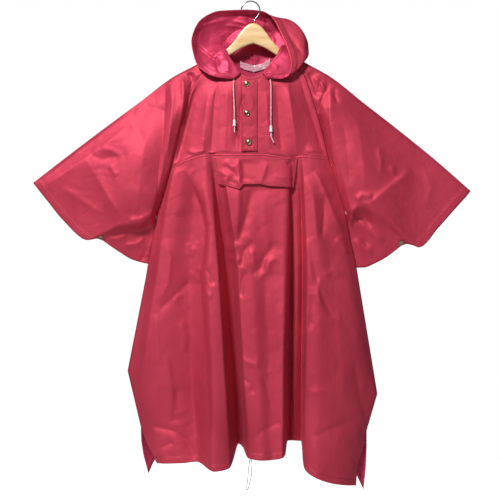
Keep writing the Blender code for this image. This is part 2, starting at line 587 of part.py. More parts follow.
def make_front():
    """The yoke's two halves, the underlap between them, the placket and their snaps."""
    grid, steps = yoke_grid(YOKE_ROWS)
    left, right = steps[PLACKET_LINES[0]], steps[PLACKET_LINES[1]]
    pieces = (
        # name, columns, how much its left and right edges move
        ("front_yoke_left", slice(0, left + 1), 0, -SEAM_GAP / 2),
        ("placket_underlap", slice(left, right + 1), SEAM_GAP / 2, -SEAM_GAP / 2),
        ("front_yoke_right", slice(right, None), SEAM_GAP / 2, 0),
    )
    for name, columns, left_trim, right_trim in pieces:
        piece = grid[:, columns].copy()
        piece[:, 0, 0] += left_trim
        piece[:, -1, 0] += right_trim
        cloth(name, seen(piece), RED)

    yoke = seen(yoke_grid(np.linspace(0, 1, FINE_ROWS), FINE_COLUMNS)[0])
    heights = np.linspace(PLACKET_TOP, PLACKET_FOOT, PLACKET_ROWS)
    left_edge = np.interp(heights, (PLACKET_TURN, PLACKET_TOP), (PLACKET_LEFT, PLACKET_POINT))[:, None]
    x = left_edge + (PLACKET_RIGHT - left_edge) * np.linspace(0, 1, PLACKET_COLUMNS)
    z = np.broadcast_to(heights[:, None], x.shape)
    cloth("placket", lie_on(yoke, x, z, placket_lift(x)), RED)

    name, x, z = TOP_SNAP
    make_snap(name, yoke, x, z, CLOTH / 2 + SNAP_STAND)
    for name, x, z in PLACKET_SNAPS:
        make_snap(name, yoke, x, z, placket_lift(x) + CLOTH / 2 + SNAP_STAND)


def placket_lift(x):
    """How far the placket stands off the yoke, at given x."""
    return np.interp(x, (PLACKET_LEFT, PLACKET_RIGHT), PLACKET_LIFT)


def make_snap(name, host, x, z, lift):
    """A brass snap on a host surface: a domed cap in a rolled rim."""
    base, tip = lie_on(host, np.array([x, x]), np.array([z, z]), np.array([lift, lift + 1]))
    profile = [(SNAP_RADIUS * share, height) for share, height in SNAP_PROFILE]
    return turned(name, profile, base, tip - base, BRASS, 0.35, 1.0)


def make_skirt():
    """The skirt and the pocket flap that lies on its top."""
    cloth("front_skirt", seen(skirt_grid(SKIRT_ROWS)), RED)

    skirt = seen(skirt_grid(np.linspace(0, FINE_SKIRT, FINE_ROWS), FINE_COLUMNS))
    top = np.asarray(FLAP_TOP, float)
    foot = np.asarray(FLAP_FOOT, float)
    across = np.linspace(0, 1, FLAP_COLUMNS)[None, :]
    down = np.linspace(0, 1, FLAP_ROWS)[:, None]
    top_x = top[0, 0] + (top[-1, 0] - top[0, 0]) * across
    foot_x = foot[0, 0] + (foot[-1, 0] - foot[0, 0]) * across
    top_z = np.interp(top_x, top[:, 0], top[:, 1])
    foot_z = np.interp(foot_x, foot[:, 0], foot[:, 1])
    x = top_x + (foot_x - top_x) * down
    z = top_z + (foot_z - top_z) * down
    lift = np.broadcast_to(FLAP_LIFT[0] + (FLAP_LIFT[1] - FLAP_LIFT[0]) * down, x.shape)
    cloth("pocket_flap", lie_on(skirt, x, z, lift), RED)


def make_back():
    """The back, one plain panel."""
    cloth("back_panel", seen(back_grid(BACK_ROWS)), MAGENTA)


def make_sleeves():
    """Both sleeves, and the snap by each cuff."""
    for side, raglan, stations in (("left", RAGLAN_LEFT, SLEEVE_LEFT), ("right", RAGLAN_RIGHT, SLEEVE_RIGHT)):
        grid = seen(sleeve_grid(side, raglan, stations))
        cloth("sleeve_" + side, grid, RED)
        name, x, z = SLEEVE_SNAPS[side]
        make_snap(name, grid[:len(SLEEVE_FRONT_ROWS)], x, z, CLOTH / 2 + SLEEVE_SNAP_STAND)


def make_hood():
    """The hood, as rings from the neck seam to the rim of the face opening."""
    table = by_depth(np.asarray(HOOD, float).reshape(-1, 3)).reshape(len(HOOD), len(HOOD_RINGS), 3)
    rings = np.linspace(0, 1, HOOD_ROWS)
    lines = [smooth(HOOD_RINGS, station, rings) for station in table]
    cloth("hood", seen(between(lines, [HOOD_COLUMNS] * (len(lines) - 1))[0]), MAGENTA)


def make_neck_tape():
    """The tape inside the back neck, just in front of the seam of hood and back."""
    x = np.linspace(*TAPE_ACROSS, TAPE_COLUMNS)
    neckline = np.array([fold[1] for fold in BACK_FOLDS], float)
    depth = np.interp(x, neckline[:, 0], neckline[:, 2]) - LAP
    drop = np.interp(x, neckline[:, 0], neckline[:, 1]) - neckline[:, 1].min()
    z = TAPE_MIDDLE + drop + TAPE_HEIGHT * np.array([0.5, -0.5])[:, None]
    grid = np.stack(np.broadcast_arrays(x, depth, z), axis=-1)
    cloth("neck_tape", seen(grid), PALE)


def make_cords():
    """The drawstring's two ends with their toggles, and the tie loop inside the hem."""
    for name, route in (("drawstring_left", DRAWSTRING_LEFT), ("drawstring_right", DRAWSTRING_RIGHT)):
        tube(name, seen(by_depth(route)), CORD, CORD_STEP * CORD, PALE, 0.8, 0.0)
    for name, x, z, depth in TOGGLES:
        turned(name, TOGGLE_PROFILE, seen((x, depth, z)), (0, 0, 1), WHITE, 0.4, 0.0)

    x, z = np.array(TIE_ENDS, float).T
    ends = lie_on(seen(skirt_grid(SKIRT_ROWS, FINE_COLUMNS)), x, z, -(CLOTH / 2 + TIE / 2 + TIE_AIR))
    route = np.vstack([ends[:1], seen(by_depth(TIE_ROUTE)), ends[1:]])
    tube("tie_loop", route, TIE, TIE_STEP * TIE, MAGENTA, 0.8, 0.0)


def make_hanger():
    """The wooden hanger, cut from a board with its edges rounded, and its wire hook."""
    right = WOOD_TOP[1:] + WOOD_UNDER
    left = tuple((-x, z) for x, z in reversed(right))
    outline = (WOOD_TOP[0],) + right + ((0, WOOD_NOTCH),) + left
    half = WOOD_THICKNESS / 2
    count = len(outline)
    points = [(MM * (x + WOOD_CENTRE), MM * y, MM * z) for y in (-half, half) for x, z in outline]
    faces = [tuple(range(count - 1, -1, -1)), tuple(range(count, 2 * count))]
    faces += [(k, (k + 1) % count, (k + 1) % count + count, k + count) for k in range(count)]
    mesh = bpy.data.meshes.new("hanger_wood")
    mesh.from_pydata(points, [], faces)
    mesh.shade_smooth()
    wood = add_object("hanger_wood", mesh, WOOD, 0.4, 0.0)

    bevel = wood.modifiers.new("Rounded edges", "BEVEL")
    bevel.width = WOOD_ROUNDING * MM
    bevel.segments = 2
    bevel.limit_method = "ANGLE"
    bevel.angle_limit = np.radians(SHARP_EDGE)

    mouth = (WOOD_CENTRE * MM, 0, WOOD_TOP[0][1] * MM)
    bpy.ops.mesh.primitive_cylinder_add(vertices=STEM_SIDES, radius=STEM_HOLE * MM,
                                        depth=2 * STEM_DEPTH * MM, location=mouth)
    hole = bpy.context.active_object
    hole.name = "stem_hole"
    hole.hide_render = True
    hole.display_type = "WIRE"
    cut = wood.modifiers.new("Stem hole", "BOOLEAN")
    cut.operation = "DIFFERENCE"
    cut.object = hole

    angles = np.radians(np.linspace(*HOOK_ARC, HOOK_ARC_POINTS))
    centre_z = HOOK_WIRE / 2 - HOOK_BEND
    bend = np.stack([HOOK_BEND * np.cos(angles), 0 * angles, centre_z + HOOK_BEND * np.sin(angles)], axis=1)
    stem = np.array([(x, 0, z) for x, z in HOOK_STEM])
    tube("hanger_hook", np.vstack([stem, bend]) * MM, HOOK_WIRE, HOOK_STEP, STEEL, 0.15, 1.0)


def main():
    for leftover in list(bpy.data.objects):
        bpy.data.objects.remove(leftover, do_unlink=True)
    make_front()
    make_skirt()
    make_back()
    make_sleeves()
    make_hood()
    make_neck_tape()
    make_cords()
    make_hanger()


main()
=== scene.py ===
"""The looks of a nylon rain poncho on a wooden hanger.

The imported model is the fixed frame. Tables are in millimetres, and each names its columns:
x and z say where a point looks to be on the plane of the hanger, and depth how far behind
that plane it is.
"""

import bpy
import numpy as np
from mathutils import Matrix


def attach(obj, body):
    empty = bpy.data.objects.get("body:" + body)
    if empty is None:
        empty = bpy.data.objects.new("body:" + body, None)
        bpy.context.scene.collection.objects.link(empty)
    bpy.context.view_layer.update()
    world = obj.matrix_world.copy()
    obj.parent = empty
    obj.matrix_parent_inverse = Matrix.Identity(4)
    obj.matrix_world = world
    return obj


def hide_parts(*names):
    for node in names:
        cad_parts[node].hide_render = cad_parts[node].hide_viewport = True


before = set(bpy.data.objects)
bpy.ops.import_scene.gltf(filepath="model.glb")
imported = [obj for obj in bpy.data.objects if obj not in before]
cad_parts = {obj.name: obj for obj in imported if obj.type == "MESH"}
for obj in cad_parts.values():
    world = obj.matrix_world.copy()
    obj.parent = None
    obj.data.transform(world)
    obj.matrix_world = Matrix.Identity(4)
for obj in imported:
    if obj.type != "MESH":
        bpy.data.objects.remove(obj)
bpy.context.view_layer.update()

# The camera and the studio: the photo looks squarely at the front, from about 2.6 m away
# and level with the chest. The light is soft and comes from the upper left, against white.
MM = 0.001
EYE = (-1.6, -2600.0, -670.0)
PICTURE_WIDTH = 1350.0          # how much of the hanger's plane the picture takes in
SENSOR = 36.0
FLOOR = -1900.0
FLOOR_TONES = (0.93, 0.97)
ROOM_LIGHT = (1.0, 0.98, 0.97, 1)
ROOM_STRENGTH = 0.07
LAMPS = (
    # name, place, what it points at, size in metres, power in watts
    ("key", (-1.42, -2.9, 2.35), (0, 0, -0.5), 0.7, 222),
    ("fill", (1.8, -3.0, 0.2), (0, 0, -0.5), 1.6, 6),
)


def new_material(name, roughness, metallic=0.0):
    """A material with its shader, its nodes and links, and Object coordinates."""
    material = bpy.data.materials.new(name)
    material.use_nodes = True
    nodes, links = material.node_tree.nodes, material.node_tree.links
    shader = nodes["Principled BSDF"]
    shader.inputs["Roughness"].default_value = roughness
    shader.inputs["Metallic"].default_value = metallic
    place = nodes.new("ShaderNodeTexCoord").outputs["Object"]
    return material, shader, nodes, links, place


def noise_of(nodes, links, place, scale, detail, stretch=(1, 1, 1)):
    """Noise on a place, in cycles per metre, drawn out by a stretch along each axis."""
    mapping = nodes.new("ShaderNodeMapping")
    mapping.inputs["Scale"].default_value = stretch
    links.new(place, mapping.inputs["Vector"])
    noise = nodes.new("ShaderNodeTexNoise")
    noise.inputs["Scale"].default_value = scale
    noise.inputs["Detail"].default_value = detail
    links.new(mapping.outputs[0], noise.inputs["Vector"])
    return noise.outputs["Fac"]


def ramp_of(nodes, links, value, stops):
    """Colours along a value: each stop is a place and a colour."""
    ramp = nodes.new("ShaderNodeValToRGB")
    for element, (at, colour) in zip(ramp.color_ramp.elements, (stops[0], stops[-1])):
        element.position = at
        element.color = (*colour, 1)
    for at, colour in stops[1:-1]:
        ramp.color_ramp.elements.new(at).color = (*colour, 1)
    links.new(value, ramp.inputs[0])
    return ramp.outputs[0]


def studio():
    """The camera, a white room whose light is dimmer than its look, two soft lamps and a pale floor."""
    scene = bpy.context.scene
    scene.view_settings.view_transform = "Standard"
    camera = bpy.data.objects.new("camera", bpy.data.cameras.new("camera"))
    camera.data.sensor_width = SENSOR
    camera.data.lens = SENSOR * -EYE[1] / PICTURE_WIDTH
    camera.location = np.array(EYE) * MM
    camera.rotation_euler = (np.pi / 2, 0, 0)
    scene.collection.objects.link(camera)
    scene.camera = camera

    world = bpy.data.worlds.new("room")
    world.use_nodes = True
    nodes, links = world.node_tree.nodes, world.node_tree.links
    nodes.clear()
    path = nodes.new("ShaderNodeLightPath")
    light, look = nodes.new("ShaderNodeBackground"), nodes.new("ShaderNodeBackground")
    mix = nodes.new("ShaderNodeMixShader")
    light.inputs["Color"].default_value = ROOM_LIGHT
    light.inputs["Strength"].default_value = ROOM_STRENGTH
    look.inputs["Strength"].default_value = 1.0
    look.inputs["Color"].default_value = (1, 1, 1, 1)
    links.new(path.outputs["Is Camera Ray"], mix.inputs[0])
    links.new(light.outputs[0], mix.inputs[1])
    links.new(look.outputs[0], mix.inputs[2])
    links.new(mix.outputs[0], nodes.new("ShaderNodeOutputWorld").inputs[0])
    scene.world = world

    for name, place, target, size, power in LAMPS:
        data = bpy.data.lights.new(name, "AREA")
        data.size = size
        data.energy = power
        lamp = bpy.data.objects.new(name, data)
        lamp.location = place
        away = lamp.location - type(lamp.location)(target)
        lamp.rotation_euler = away.to_track_quat("Z", "Y").to_euler()
        scene.collection.objects.link(lamp)

    x, y = np.meshgrid((-3, 3), (-3, 3))
    floor = bpy.data.meshes.new("floor")
    floor.from_pydata(np.stack([x, y, 0 * x + FLOOR * MM], axis=-1).reshape(-1, 3).tolist(), [], [(0, 1, 3, 2)])
    material, shader, nodes, links, place = new_material("floor", 0.9)
    tone = noise_of(nodes, links, place, 3.0, 2.0)
    tones = [(at, (grey,) * 3) for at, grey in enumerate(FLOOR_TONES)]
    links.new(ramp_of(nodes, links, tone, tones), shader.inputs["Base Color"])
    shader.inputs["Emission Color"].default_value = (1, 1, 1, 1)
    links.new(nodes.new("ShaderNodeLightPath").outputs["Is Camera Ray"], shader.inputs["Emission Strength"])
    floor.materials.append(material)
    ground = bpy.data.objects.new("floor", floor)
    scene.collection.objects.link(ground)


studio()

# The hood's drawstring: a soft braided cord, 3 mm thick, pale pink, that comes out of the
# hood's casing at both front ends and hangs over the chest. Its right end has a knot.
CORD = 3.0
CORD_STEP = 0.4                 # between two rings, in diameters
CORD_PALE = (0.88, 0.58, 0.60)
CORD_DARK = (0.45, 0.13, 0.19)
DRAWSTRINGS = {
    # x, z, depth, from the casing to the free end
    "left": ((-46, -211, -40.5), (-46, -230, -41), (-45, -262, -42), (-44, -300, -43),
             (-44, -326, -43.5), (-44, -340, -43.5), (-43, -352, -43)),
    "right": ((53, -209.5, -41.5), (55, -230, -41.5), (55, -262, -42), (55, -300, -43),
              (55, -332, -44), (55, -353, -44), (56, -364, -44), (59, -372, -43.5), (63, -380, -43)),
}
KNOT_AT = (55.5, -44, -361)     # x, depth, z
KNOT_TURNS = 1.6
KNOT_RADIUS = 1.5
KNOT_HEIGHT = 5.5
KNOT_CORD = 2.5
PLAIT = (12, 2 * np.pi / 0.006, 3, 0.07)    # sides, twist a metre, strands, how far they swell


def seen(points):
    """True places, in metres, of points (x, depth, z) that look to be at x, z in front.

    Both distances from the eye's axis grow with (eye distance + depth) / eye distance.
    """
    points = np.asarray(points, float)
    nearness = (points[..., 1] - EYE[1]) / -EYE[1]
    x = points[..., 0] * nearness
    z = EYE[2] + (points[..., 2] - EYE[2]) * nearness
    return np.stack([x, points[..., 1], z], axis=-1) * MM


def by_depth(rows, column=2):
    """Table rows of x, z and depths as points (x, depth, z)."""
    return np.asarray(rows, float)[..., [0, column, 1]]


def smooth(knots, values, at):
    """A curve through the values at the knots that never passes beyond two neighbours.

    Cubic stretches whose slope at a knot is the harmonic mean of its neighbours' slopes.
    """
    knots = np.asarray(knots, float)
    values = np.asarray(values, float)
    shape = (-1,) + (1,) * (values.ndim - 1)
    width = np.diff(knots).reshape(shape)
    slope = np.diff(values, axis=0) / width
    product = slope[:-1] * slope[1:]
    total = slope[:-1] + slope[1:]
    inner = np.where(product > 0, 2 * product / np.where(product > 0, total, 1), 0)
    tangent = np.concatenate([slope[:1], inner, slope[-1:]])
    cell = np.clip(np.searchsorted(knots, at, side="right") - 1, 0, len(knots) - 2)
    width = width[cell]
    t = (np.asarray(at) - knots[cell]).reshape(shape) / width
    start = (1 + 2 * t) * (1 - t) ** 2 * values[cell] + t * (1 - t) ** 2 * width * tangent[cell]
    end = t * t * (3 - 2 * t) * values[cell + 1] - t * t * (1 - t) * width * tangent[cell + 1]
    return start + end


def run_of(route):
    """How far along a route each of its points lies."""
    return np.concatenate([[0], np.cumsum(np.linalg.norm(np.diff(route, axis=0), axis=1))])


def along(route, step):
    """Points of a smooth curve through a route of true points, about a step apart."""
    run = run_of(route)
    count = max(3, int(round(run[-1] / step)))
    return smooth(run, route, np.linspace(0, run[-1], count + 1))


def mesh_of(name, points, faces):
    """A smooth mesh: its points, in metres, and its faces as rows of point numbers."""
    mesh = bpy.data.meshes.new(name)
    mesh.from_pydata(points.reshape(-1, 3).tolist(), [], faces)
    mesh.shade_smooth()
    return mesh


def tube_mesh(name, path, radius, sides, twist=0.0, strands=0, swell=0.0):
    """A round tube: circles square to the path, with strands that stand out as they wind.

    Point (s, a) is path(s) + r (cos a * side + sin a * other), where r is the radius
    times 1 + swell * cos(strands * a - twist * s). Its two ends are closed by a point.
    """
    tangent = np.gradient(path, axis=0)
    tangent /= np.linalg.norm(tangent, axis=1, keepdims=True)
    side = np.cross(tangent, (0.0, 1.0, 0.0))
    side /= np.linalg.norm(side, axis=1, keepdims=True)
    other = np.cross(side, tangent)
    run = run_of(path)
    angle = np.arange(sides) * 2 * np.pi / sides
    wound = 1 + swell * np.cos(strands * angle - twist * run[:, None])
    r = np.broadcast_to(radius, len(path))[:, None] * wound
    ring = np.cos(angle)[:, None] * side[:, None] + np.sin(angle)[:, None] * other[:, None]
    points = path[:, None] + r[..., None] * ring
    index = np.arange(len(path) * sides).reshape(len(path), sides)
    after = np.roll(index, -1, axis=1)
    quads = np.stack([index[:-1], after[:-1], after[1:], index[1:]], axis=-1).reshape(-1, 4)
    first, last = len(path) * sides, len(path) * sides + 1
    caps = [(first, b, a) for a, b in zip(index[0], after[0])]
    caps += [(last, a, b) for a, b in zip(index[-1], after[-1])]
    return mesh_of(name, np.concatenate([points.reshape(-1, 3), path[:1], path[-1:]]), quads.tolist() + caps)


def put(name, mesh, materials, node):
    """A finished piece in the scene, which stands for a CAD node and rides on the body."""
    for material in materials:
        mesh.materials.append(material)
    piece = bpy.data.objects.new(name, mesh)
    bpy.context.scene.collection.objects.link(piece)
    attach(piece, "root")
    if node:
        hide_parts(node)
    return piece


def bump_of(nodes, links, height, distance, normal=None, strength=1.0):
    """A bump whose height is a value times a distance in metres, over another normal."""
    bump = nodes.new("ShaderNodeBump")
    bump.inputs["Distance"].default_value = distance
    bump.inputs["Strength"].default_value = strength
    links.new(height, bump.inputs["Height"])
    if normal:
        links.new(normal, bump.inputs["Normal"])
    return bump.outputs[0]


def finish(name, roughness, metallic, noise, stops, relief, **sockets):
    """A finish with one noise, which gives both its colours, along the stops, and its relief.

    The noise is its cycles per metre, its detail and its stretch; the relief is in metres.
    """
    material, shader, nodes, links, place = new_material(name, roughness, metallic)
    tone = noise_of(nodes, links, place, *noise)
    links.new(ramp_of(nodes, links, tone, stops), shader.inputs["Base Color"])
    links.new(bump_of(nodes, links, tone, relief), shader.inputs["Normal"])
    for socket, value in sockets.items():
        shader.inputs[socket.replace("_", " ")].default_value = value
    return material


def shaded(colour, *factors):
    """A colour times a factor, or times one for each of its channels."""
    return tuple(c * k for c, k in zip(colour, factors * (3 // len(factors))))


def braided(name, pale, dark):
    """A cord's finish: plaited flecks of two tones, woolly and dull."""
    return finish(name, 0.85, 0.0, (900, 2, (1, 1, 0.45)), ((0.36, dark), (0.5, pale), (1, pale)), 0.0003,
                  Sheen_Weight=0.1)


cord_finish = braided("drawstring", CORD_PALE, CORD_DARK)
cords = {}
for side, route in DRAWSTRINGS.items():
    path = along(seen(by_depth(route)), CORD * MM * CORD_STEP)
    mesh = tube_mesh("drawstring_" + side, path, CORD * MM / 2, *PLAIT)
    cords[side] = put("drawstring_cord_" + side, mesh, [cord_finish], "drawstring_" + side), path

# The toggles: small bells of white plastic, 17 mm long, with a narrow top and a lip, that
# slide on the drawstring's ends. The right end is knotted below its toggle.
TOGGLE_WHITE = (0.90, 0.86, 0.84)
TOGGLES = {"left": (-44, -43.5, -318), "right": (55, -44, -334)}     # x, depth and z of the top
TOGGLE_PROFILE = (
    # radius, height below the top: the bore's foot, the bell, its waist, the top, the bore
    (1.9, -17), (3.2, -17), (4.2, -16.8), (4.5, -16.2), (4.6, -15.4), (4.4, -14.2), (4.0, -11.5), (3.6, -8.5),
    (3.45, -5), (3.4, -2.2), (3.5, -1.6), (3.5, -0.9), (3.2, -0.3), (2.6, 0), (1.9, 0), (1.9, -6), (1.9, -12),
)


def turned_mesh(name, profile, centre, axis, sides):
    """A turned piece: each profile point (r, h) goes round the axis at that radius and height.

    Point (k, a) is centre + h(k) * axis + r(k) (cos a * side + sin a * other).
    """
    profile = np.asarray(profile, float) * MM
    axis = np.asarray(axis, float) / np.linalg.norm(axis)
    side = np.cross(axis, (1.0, 0.0, 0.0) if abs(axis[2]) > 0.5 else (0.0, 0.0, 1.0))
    side /= np.linalg.norm(side)
    other = np.cross(axis, side)
    angle = np.arange(sides) * 2 * np.pi / sides
    ring = np.cos(angle)[:, None] * side + np.sin(angle)[:, None] * other
    points = centre + profile[:, 1, None, None] * axis + profile[:, 0, None, None] * ring
    index = np.arange(points.shape[0] * sides).reshape(-1, sides)
    after = np.roll(index, -1, axis=1)
    loop = np.concatenate([index, index[:1]]), np.concatenate([after, after[:1]])
    quads = np.stack([loop[0][:-1], loop[1][:-1], loop[1][1:], loop[0][1:]], axis=-1).reshape(-1, 4)
    return mesh_of(name, points, quads.tolist())


def moulded_white(name):
    """Glossy white plastic, a little yellowed and scuffed."""
    stops = ((0.35, shaded(TOGGLE_WHITE, 0.96, 0.93, 0.88)), (0.65, TOGGLE_WHITE))
    return finish(name, 0.32, 0.0, (160, 4), stops, 0.0001)


toggle_finish = moulded_white("toggle")
for side, place in TOGGLES.items():
    mesh = turned_mesh("toggle_" + side, TOGGLE_PROFILE, seen(place), (0, 0, 1), sides=28)
    toggle = put("toggle_bell_" + side, mesh, [toggle_finish], "toggle_" + side)
    cord, path = cords[side]
    if side == "right":
        turns = np.linspace(0, 1, 60)
        angle = turns * 2 * np.pi * KNOT_TURNS
        coil = (KNOT_RADIUS * np.cos(angle), KNOT_RADIUS * np.sin(angle), KNOT_HEIGHT * (0.5 - turns))
        mesh = tube_mesh("knot", np.stack(coil, axis=1) * MM + seen(KNOT_AT), KNOT_CORD / 2 * MM, *PLAIT)
        put("drawstring_knot", mesh, [cord_finish], None)

# The tie: a thin dark cord, sewn in a loop inside the hem, that hangs below it.
TIE = 1.6
TIE_DARK = (0.10, 0.012, 0.025)
TIE_RED = (0.16, 0.02, 0.04)
TIE_PLAIT = (10, 2 * np.pi / 0.004, 2, 0.08)
TIE_ROUTE = (
    # x, z, depth
    (5, -1225, -69.2), (1, -1248, -66), (2, -1262, -66), (2, -1276, -66), (-1, -1293, -66), (-5, -1308, -66),
    (-7.5, -1317, -66), (-9.5, -1318.5, -66), (-10.5, -1314, -66), (-9, -1299, -66), (-7, -1280, -65.5),
    (-5.5, -1260, -64.5), (-2.5, -1240, -64.5), (1.5, -1224, -67),
)
tie_path = along(seen(by_depth(TIE_ROUTE)), TIE * MM)
tie = put("tie_cord", tube_mesh("tie_loop", tie_path, TIE * MM / 2, *TIE_PLAIT),
          [braided("tie", TIE_RED, TIE_DARK)], "tie_loop")

# The hanger: one curved piece of pale varnished wood, 12 mm thick, rounded all along, and a
# chromed wire hook, 3.5 mm thick, that is pushed into a hole in its middle.
WOOD_CENTRE = 7.0
WOOD_HALF_THICKNESS = 6.0
WOOD_TOP = (
    (0, -58), (8, -59), (22, -68), (36, -84), (49, -103), (76, -131), (150, -177), (200, -207), (214, -220),
)
WOOD_UNDER = ((0, -112), (30, -124), (65, -146), (150, -203), (190, -228), (205, -233), (214, -222))
WOOD_PALE = (0.76, 0.50, 0.24)
WOOD_DEEP = (0.60, 0.33, 0.13)
WOOD_LIGHT = (0.84, 0.62, 0.35)
WOOD_SQUARE = 0.55              # 1 is an oval, and 0 a rectangle
WOOD_TIP = 14.0                 # the height below which the wood thins out to its tips
FINE_GRAIN = 0.3
HOOK_WIRE = 3.5
WIRE_DARK = (0.30, 0.30, 0.32)
WIRE_PALE = (0.48, 0.48, 0.50)
HOOK_BEND = 25.0
HOOK_ARC = (-6.0, 176.0)
HOOK_STEM = ((7, -72), (7, -65), (7, -56), (12, -47), (20, -38), (23.6, -30.5))


def hanger_mesh(columns=180, sides=28):
    """The wood from tip to tip: squarish ovals between its top line and its underside.

    Point (t, a) has x = tip * sin t; its depth is the half thickness times cos a and its
    height the middle plus half the wood's height times sin a, where cos a and sin a are
    raised to the power WOOD_SQUARE, so that the oval is nearly a rounded rectangle.
    """
    x = WOOD_TOP[-1][0] * np.sin(np.linspace(-np.pi / 2, np.pi / 2, columns))
    top = smooth(*np.array(WOOD_TOP, float).T, np.abs(x))
    under = smooth(*np.array(WOOD_UNDER, float).T, np.abs(x))
    angle = np.arange(sides) * 2 * np.pi / sides
    cos, sin = (np.sign(f) * np.abs(f) ** WOOD_SQUARE for f in (np.cos(angle), np.sin(angle)))
    thin = np.minimum(1, (top - under) / WOOD_TIP) ** 0.5
    y = WOOD_HALF_THICKNESS * thin[:, None] * cos
    z = (top + under)[:, None] / 2 + (top - under)[:, None] / 2 * sin
    points = np.stack([np.broadcast_to(x[:, None] + WOOD_CENTRE, y.shape), y, z], axis=-1) * MM
    index = np.arange(columns * sides).reshape(columns, sides)
    after = np.roll(index, -1, axis=1)
    quads = np.stack([index[:-1], index[1:], after[1:], after[:-1]], axis=-1).reshape(-1, 4).tolist()
    return mesh_of("hanger_wood", points, quads + [index[0].tolist(), index[-1][::-1].tolist()])


def varnished_wood():
    """Pale wood: grain drawn out along the arms in two tones, under satin varnish."""
    material, shader, nodes, links, place = new_material("hanger_wood", 0.38)
    bands = noise_of(nodes, links, place, 14, 5, (0.35, 1, 4.5))
    fine = noise_of(nodes, links, place, 120, 3, (0.12, 1, 2.5))
    mixed = nodes.new("ShaderNodeMath")
    mixed.operation = "MULTIPLY_ADD"
    mixed.inputs[1].default_value = FINE_GRAIN
    links.new(fine, mixed.inputs[0])
    links.new(bands, mixed.inputs[2])
    stops = ((0.42, WOOD_DEEP), (0.62, WOOD_PALE), (0.85, WOOD_LIGHT))
    links.new(ramp_of(nodes, links, mixed.outputs[0], stops), shader.inputs["Base Color"])
    links.new(bump_of(nodes, links, fine, 0.0002), shader.inputs["Normal"])
    shader.inputs["Coat Weight"].default_value = 0.25
    return material


def chromed_wire():
    """Chrome with a faint haze of fine scratches."""
    return finish("hook_wire", 0.2, 1.0, (300, 3), ((0.3, WIRE_DARK), (0.7, WIRE_PALE)), 0.00003)


put("hanger_board", hanger_mesh(), [varnished_wood()], "hanger_wood")
arc = np.radians(np.linspace(*HOOK_ARC, 60))
bend = np.stack([HOOK_BEND * np.cos(arc), 0 * arc, HOOK_WIRE / 2 - HOOK_BEND + HOOK_BEND * np.sin(arc)], axis=1)
stem = np.array([(x, 0, z) for x, z in HOOK_STEM], float)
hook_path = along(np.vstack([stem, bend]) * MM, step=0.0015)
rounding = np.minimum(1, np.arange(len(hook_path))[::-1] / 2 + 0.2) ** 0.5     # of the wire's free end
hook_radius = HOOK_WIRE / 2 * MM * rounding
hook = tube_mesh("hanger_hook", hook_path, hook_radius, sides=20)
put("hook", hook, [chromed_wire()], "hanger_hook")

# The hood: an unlined bag of the garment's nylon, open to the front, whose rim is turned
# over a casing for the drawstring. It hangs behind the hanger, so its inner face shows.
CLOTH = 0.7                     # the cloth's wall, thinner than the CAD wall that it follows
RED = (0.56, 0.046, 0.088)
RED_DEEP = (0.48, 0.034, 0.070)
INNER = (0.54, 0.034, 0.096)
INNER_DEEP = (0.43, 0.020, 0.066)
NYLON_RELIEF = (
    # cycles per metre, detail, stretch along the fall, height in metres: the slack, the crumples
    (13, 3, 0.5, 0.005), (55, 4, 0.45, 0.0014),
)
CRUSH_CELLS = 17                # the straight creases of crushed cloth, in cells per metre
CRUSH_WANDER = 14
CRUSH_BEND = 0.08
CRUSH_HEIGHT = 0.012
WEAVE = 400
WEAVE_HEIGHT = 0.00004
ROUGHNESS_SPREAD = 0.06
HEM_HEIGHT = 0.0012
HEM_FAR = 4.0                   # the hem attribute away from all hems, in hem widths
THREAD = (0.42, 0.035, 0.07)
STITCH_PITCH = 4.2 * MM
STITCH_BEAD = (2.9, 0.352, 0.32)    # length, half width, height
STITCH_PROUD = 0.05
SEAM_TURN = 7.0                 # how wide the cloth is turned in at a seam
HOOD_CASING = 20.0
HOOD = (
    # neck, near, belly, turn, rim: x, z, depth
    ((-26, -193, -35.5), (-29, -194, -37.5), (-35, -199, -38.8), (-41, -204, -39.3), (-45, -208, -38.5)),
    ((-37, -175, -29.5), (-43, -176, -34), (-58, -186, -38), (-72, -198, -40), (-85, -205, -39)),
    ((-54, -152, -18.5), (-66, -151, -23), (-86, -164, -31), (-104, -181, -37), (-123, -190, -37)),
    ((-67, -131, -13), (-79, -131, -17), (-102, -141, -20), (-126, -155, -23), (-146, -167, -26)),
    ((-72, -118, 0), (-80, -117, -2), (-107, -127, -2), (-134, -134, -9), (-155, -138, -19)),
    ((-67, -131, 13), (-77, -117, 13), (-110, -107, 14), (-140, -102, 4), (-160, -106, -10)),
    ((-45, -155, 21.5), (-61, -119, 23), (-91, -85, 25), (-123, -62, 17), (-141, -55, 2)),
    ((-18, -172, 29.5), (-34, -124, 30), (-56, -81, 31), (-72, -43, 26), (-83, -24, 13)),
    ((9, -179, 31.5), (4, -130, 32), (-2, -84, 33), (-7, -41, 27), (-12, -21, 14)),
    ((36, -172, 29.5), (42, -127, 31), (47, -86, 33), (42, -49, 28), (31, -25, 12)),
    ((57, -156, 20.5), (69, -115, 25), (93, -73, 31), (92, -46, 16), (57, -41, -4)),
    ((79, -130, 14), (102, -109, 22), (131, -76, 26), (128, -64, 4), (79, -80, -20)),
    ((84, -116, 0), (112, -121, 10), (155, -113, 14), (146, -106, -12), (98, -124, -32)),
    ((80, -129, -14.5), (104, -139, -17), (157, -141, -8), (146, -150, -27), (109, -165, -40)),
    ((52, -166, -26.5), (76, -174, -31), (112, -184, -32), (117, -190, -38), (104, -196, -43)),
    ((41, -180, -32), (52, -186, -37), (69, -200, -40), (77, -206, -41), (77, -208, -41)),
    ((31, -191.5, -35.5), (36, -194, -38.5), (39, -199, -40), (42, -203, -40), (43, -206, -39)),
)
HOOD_RINGS = (0.0, 0.18, 0.5, 0.8, 1.0)
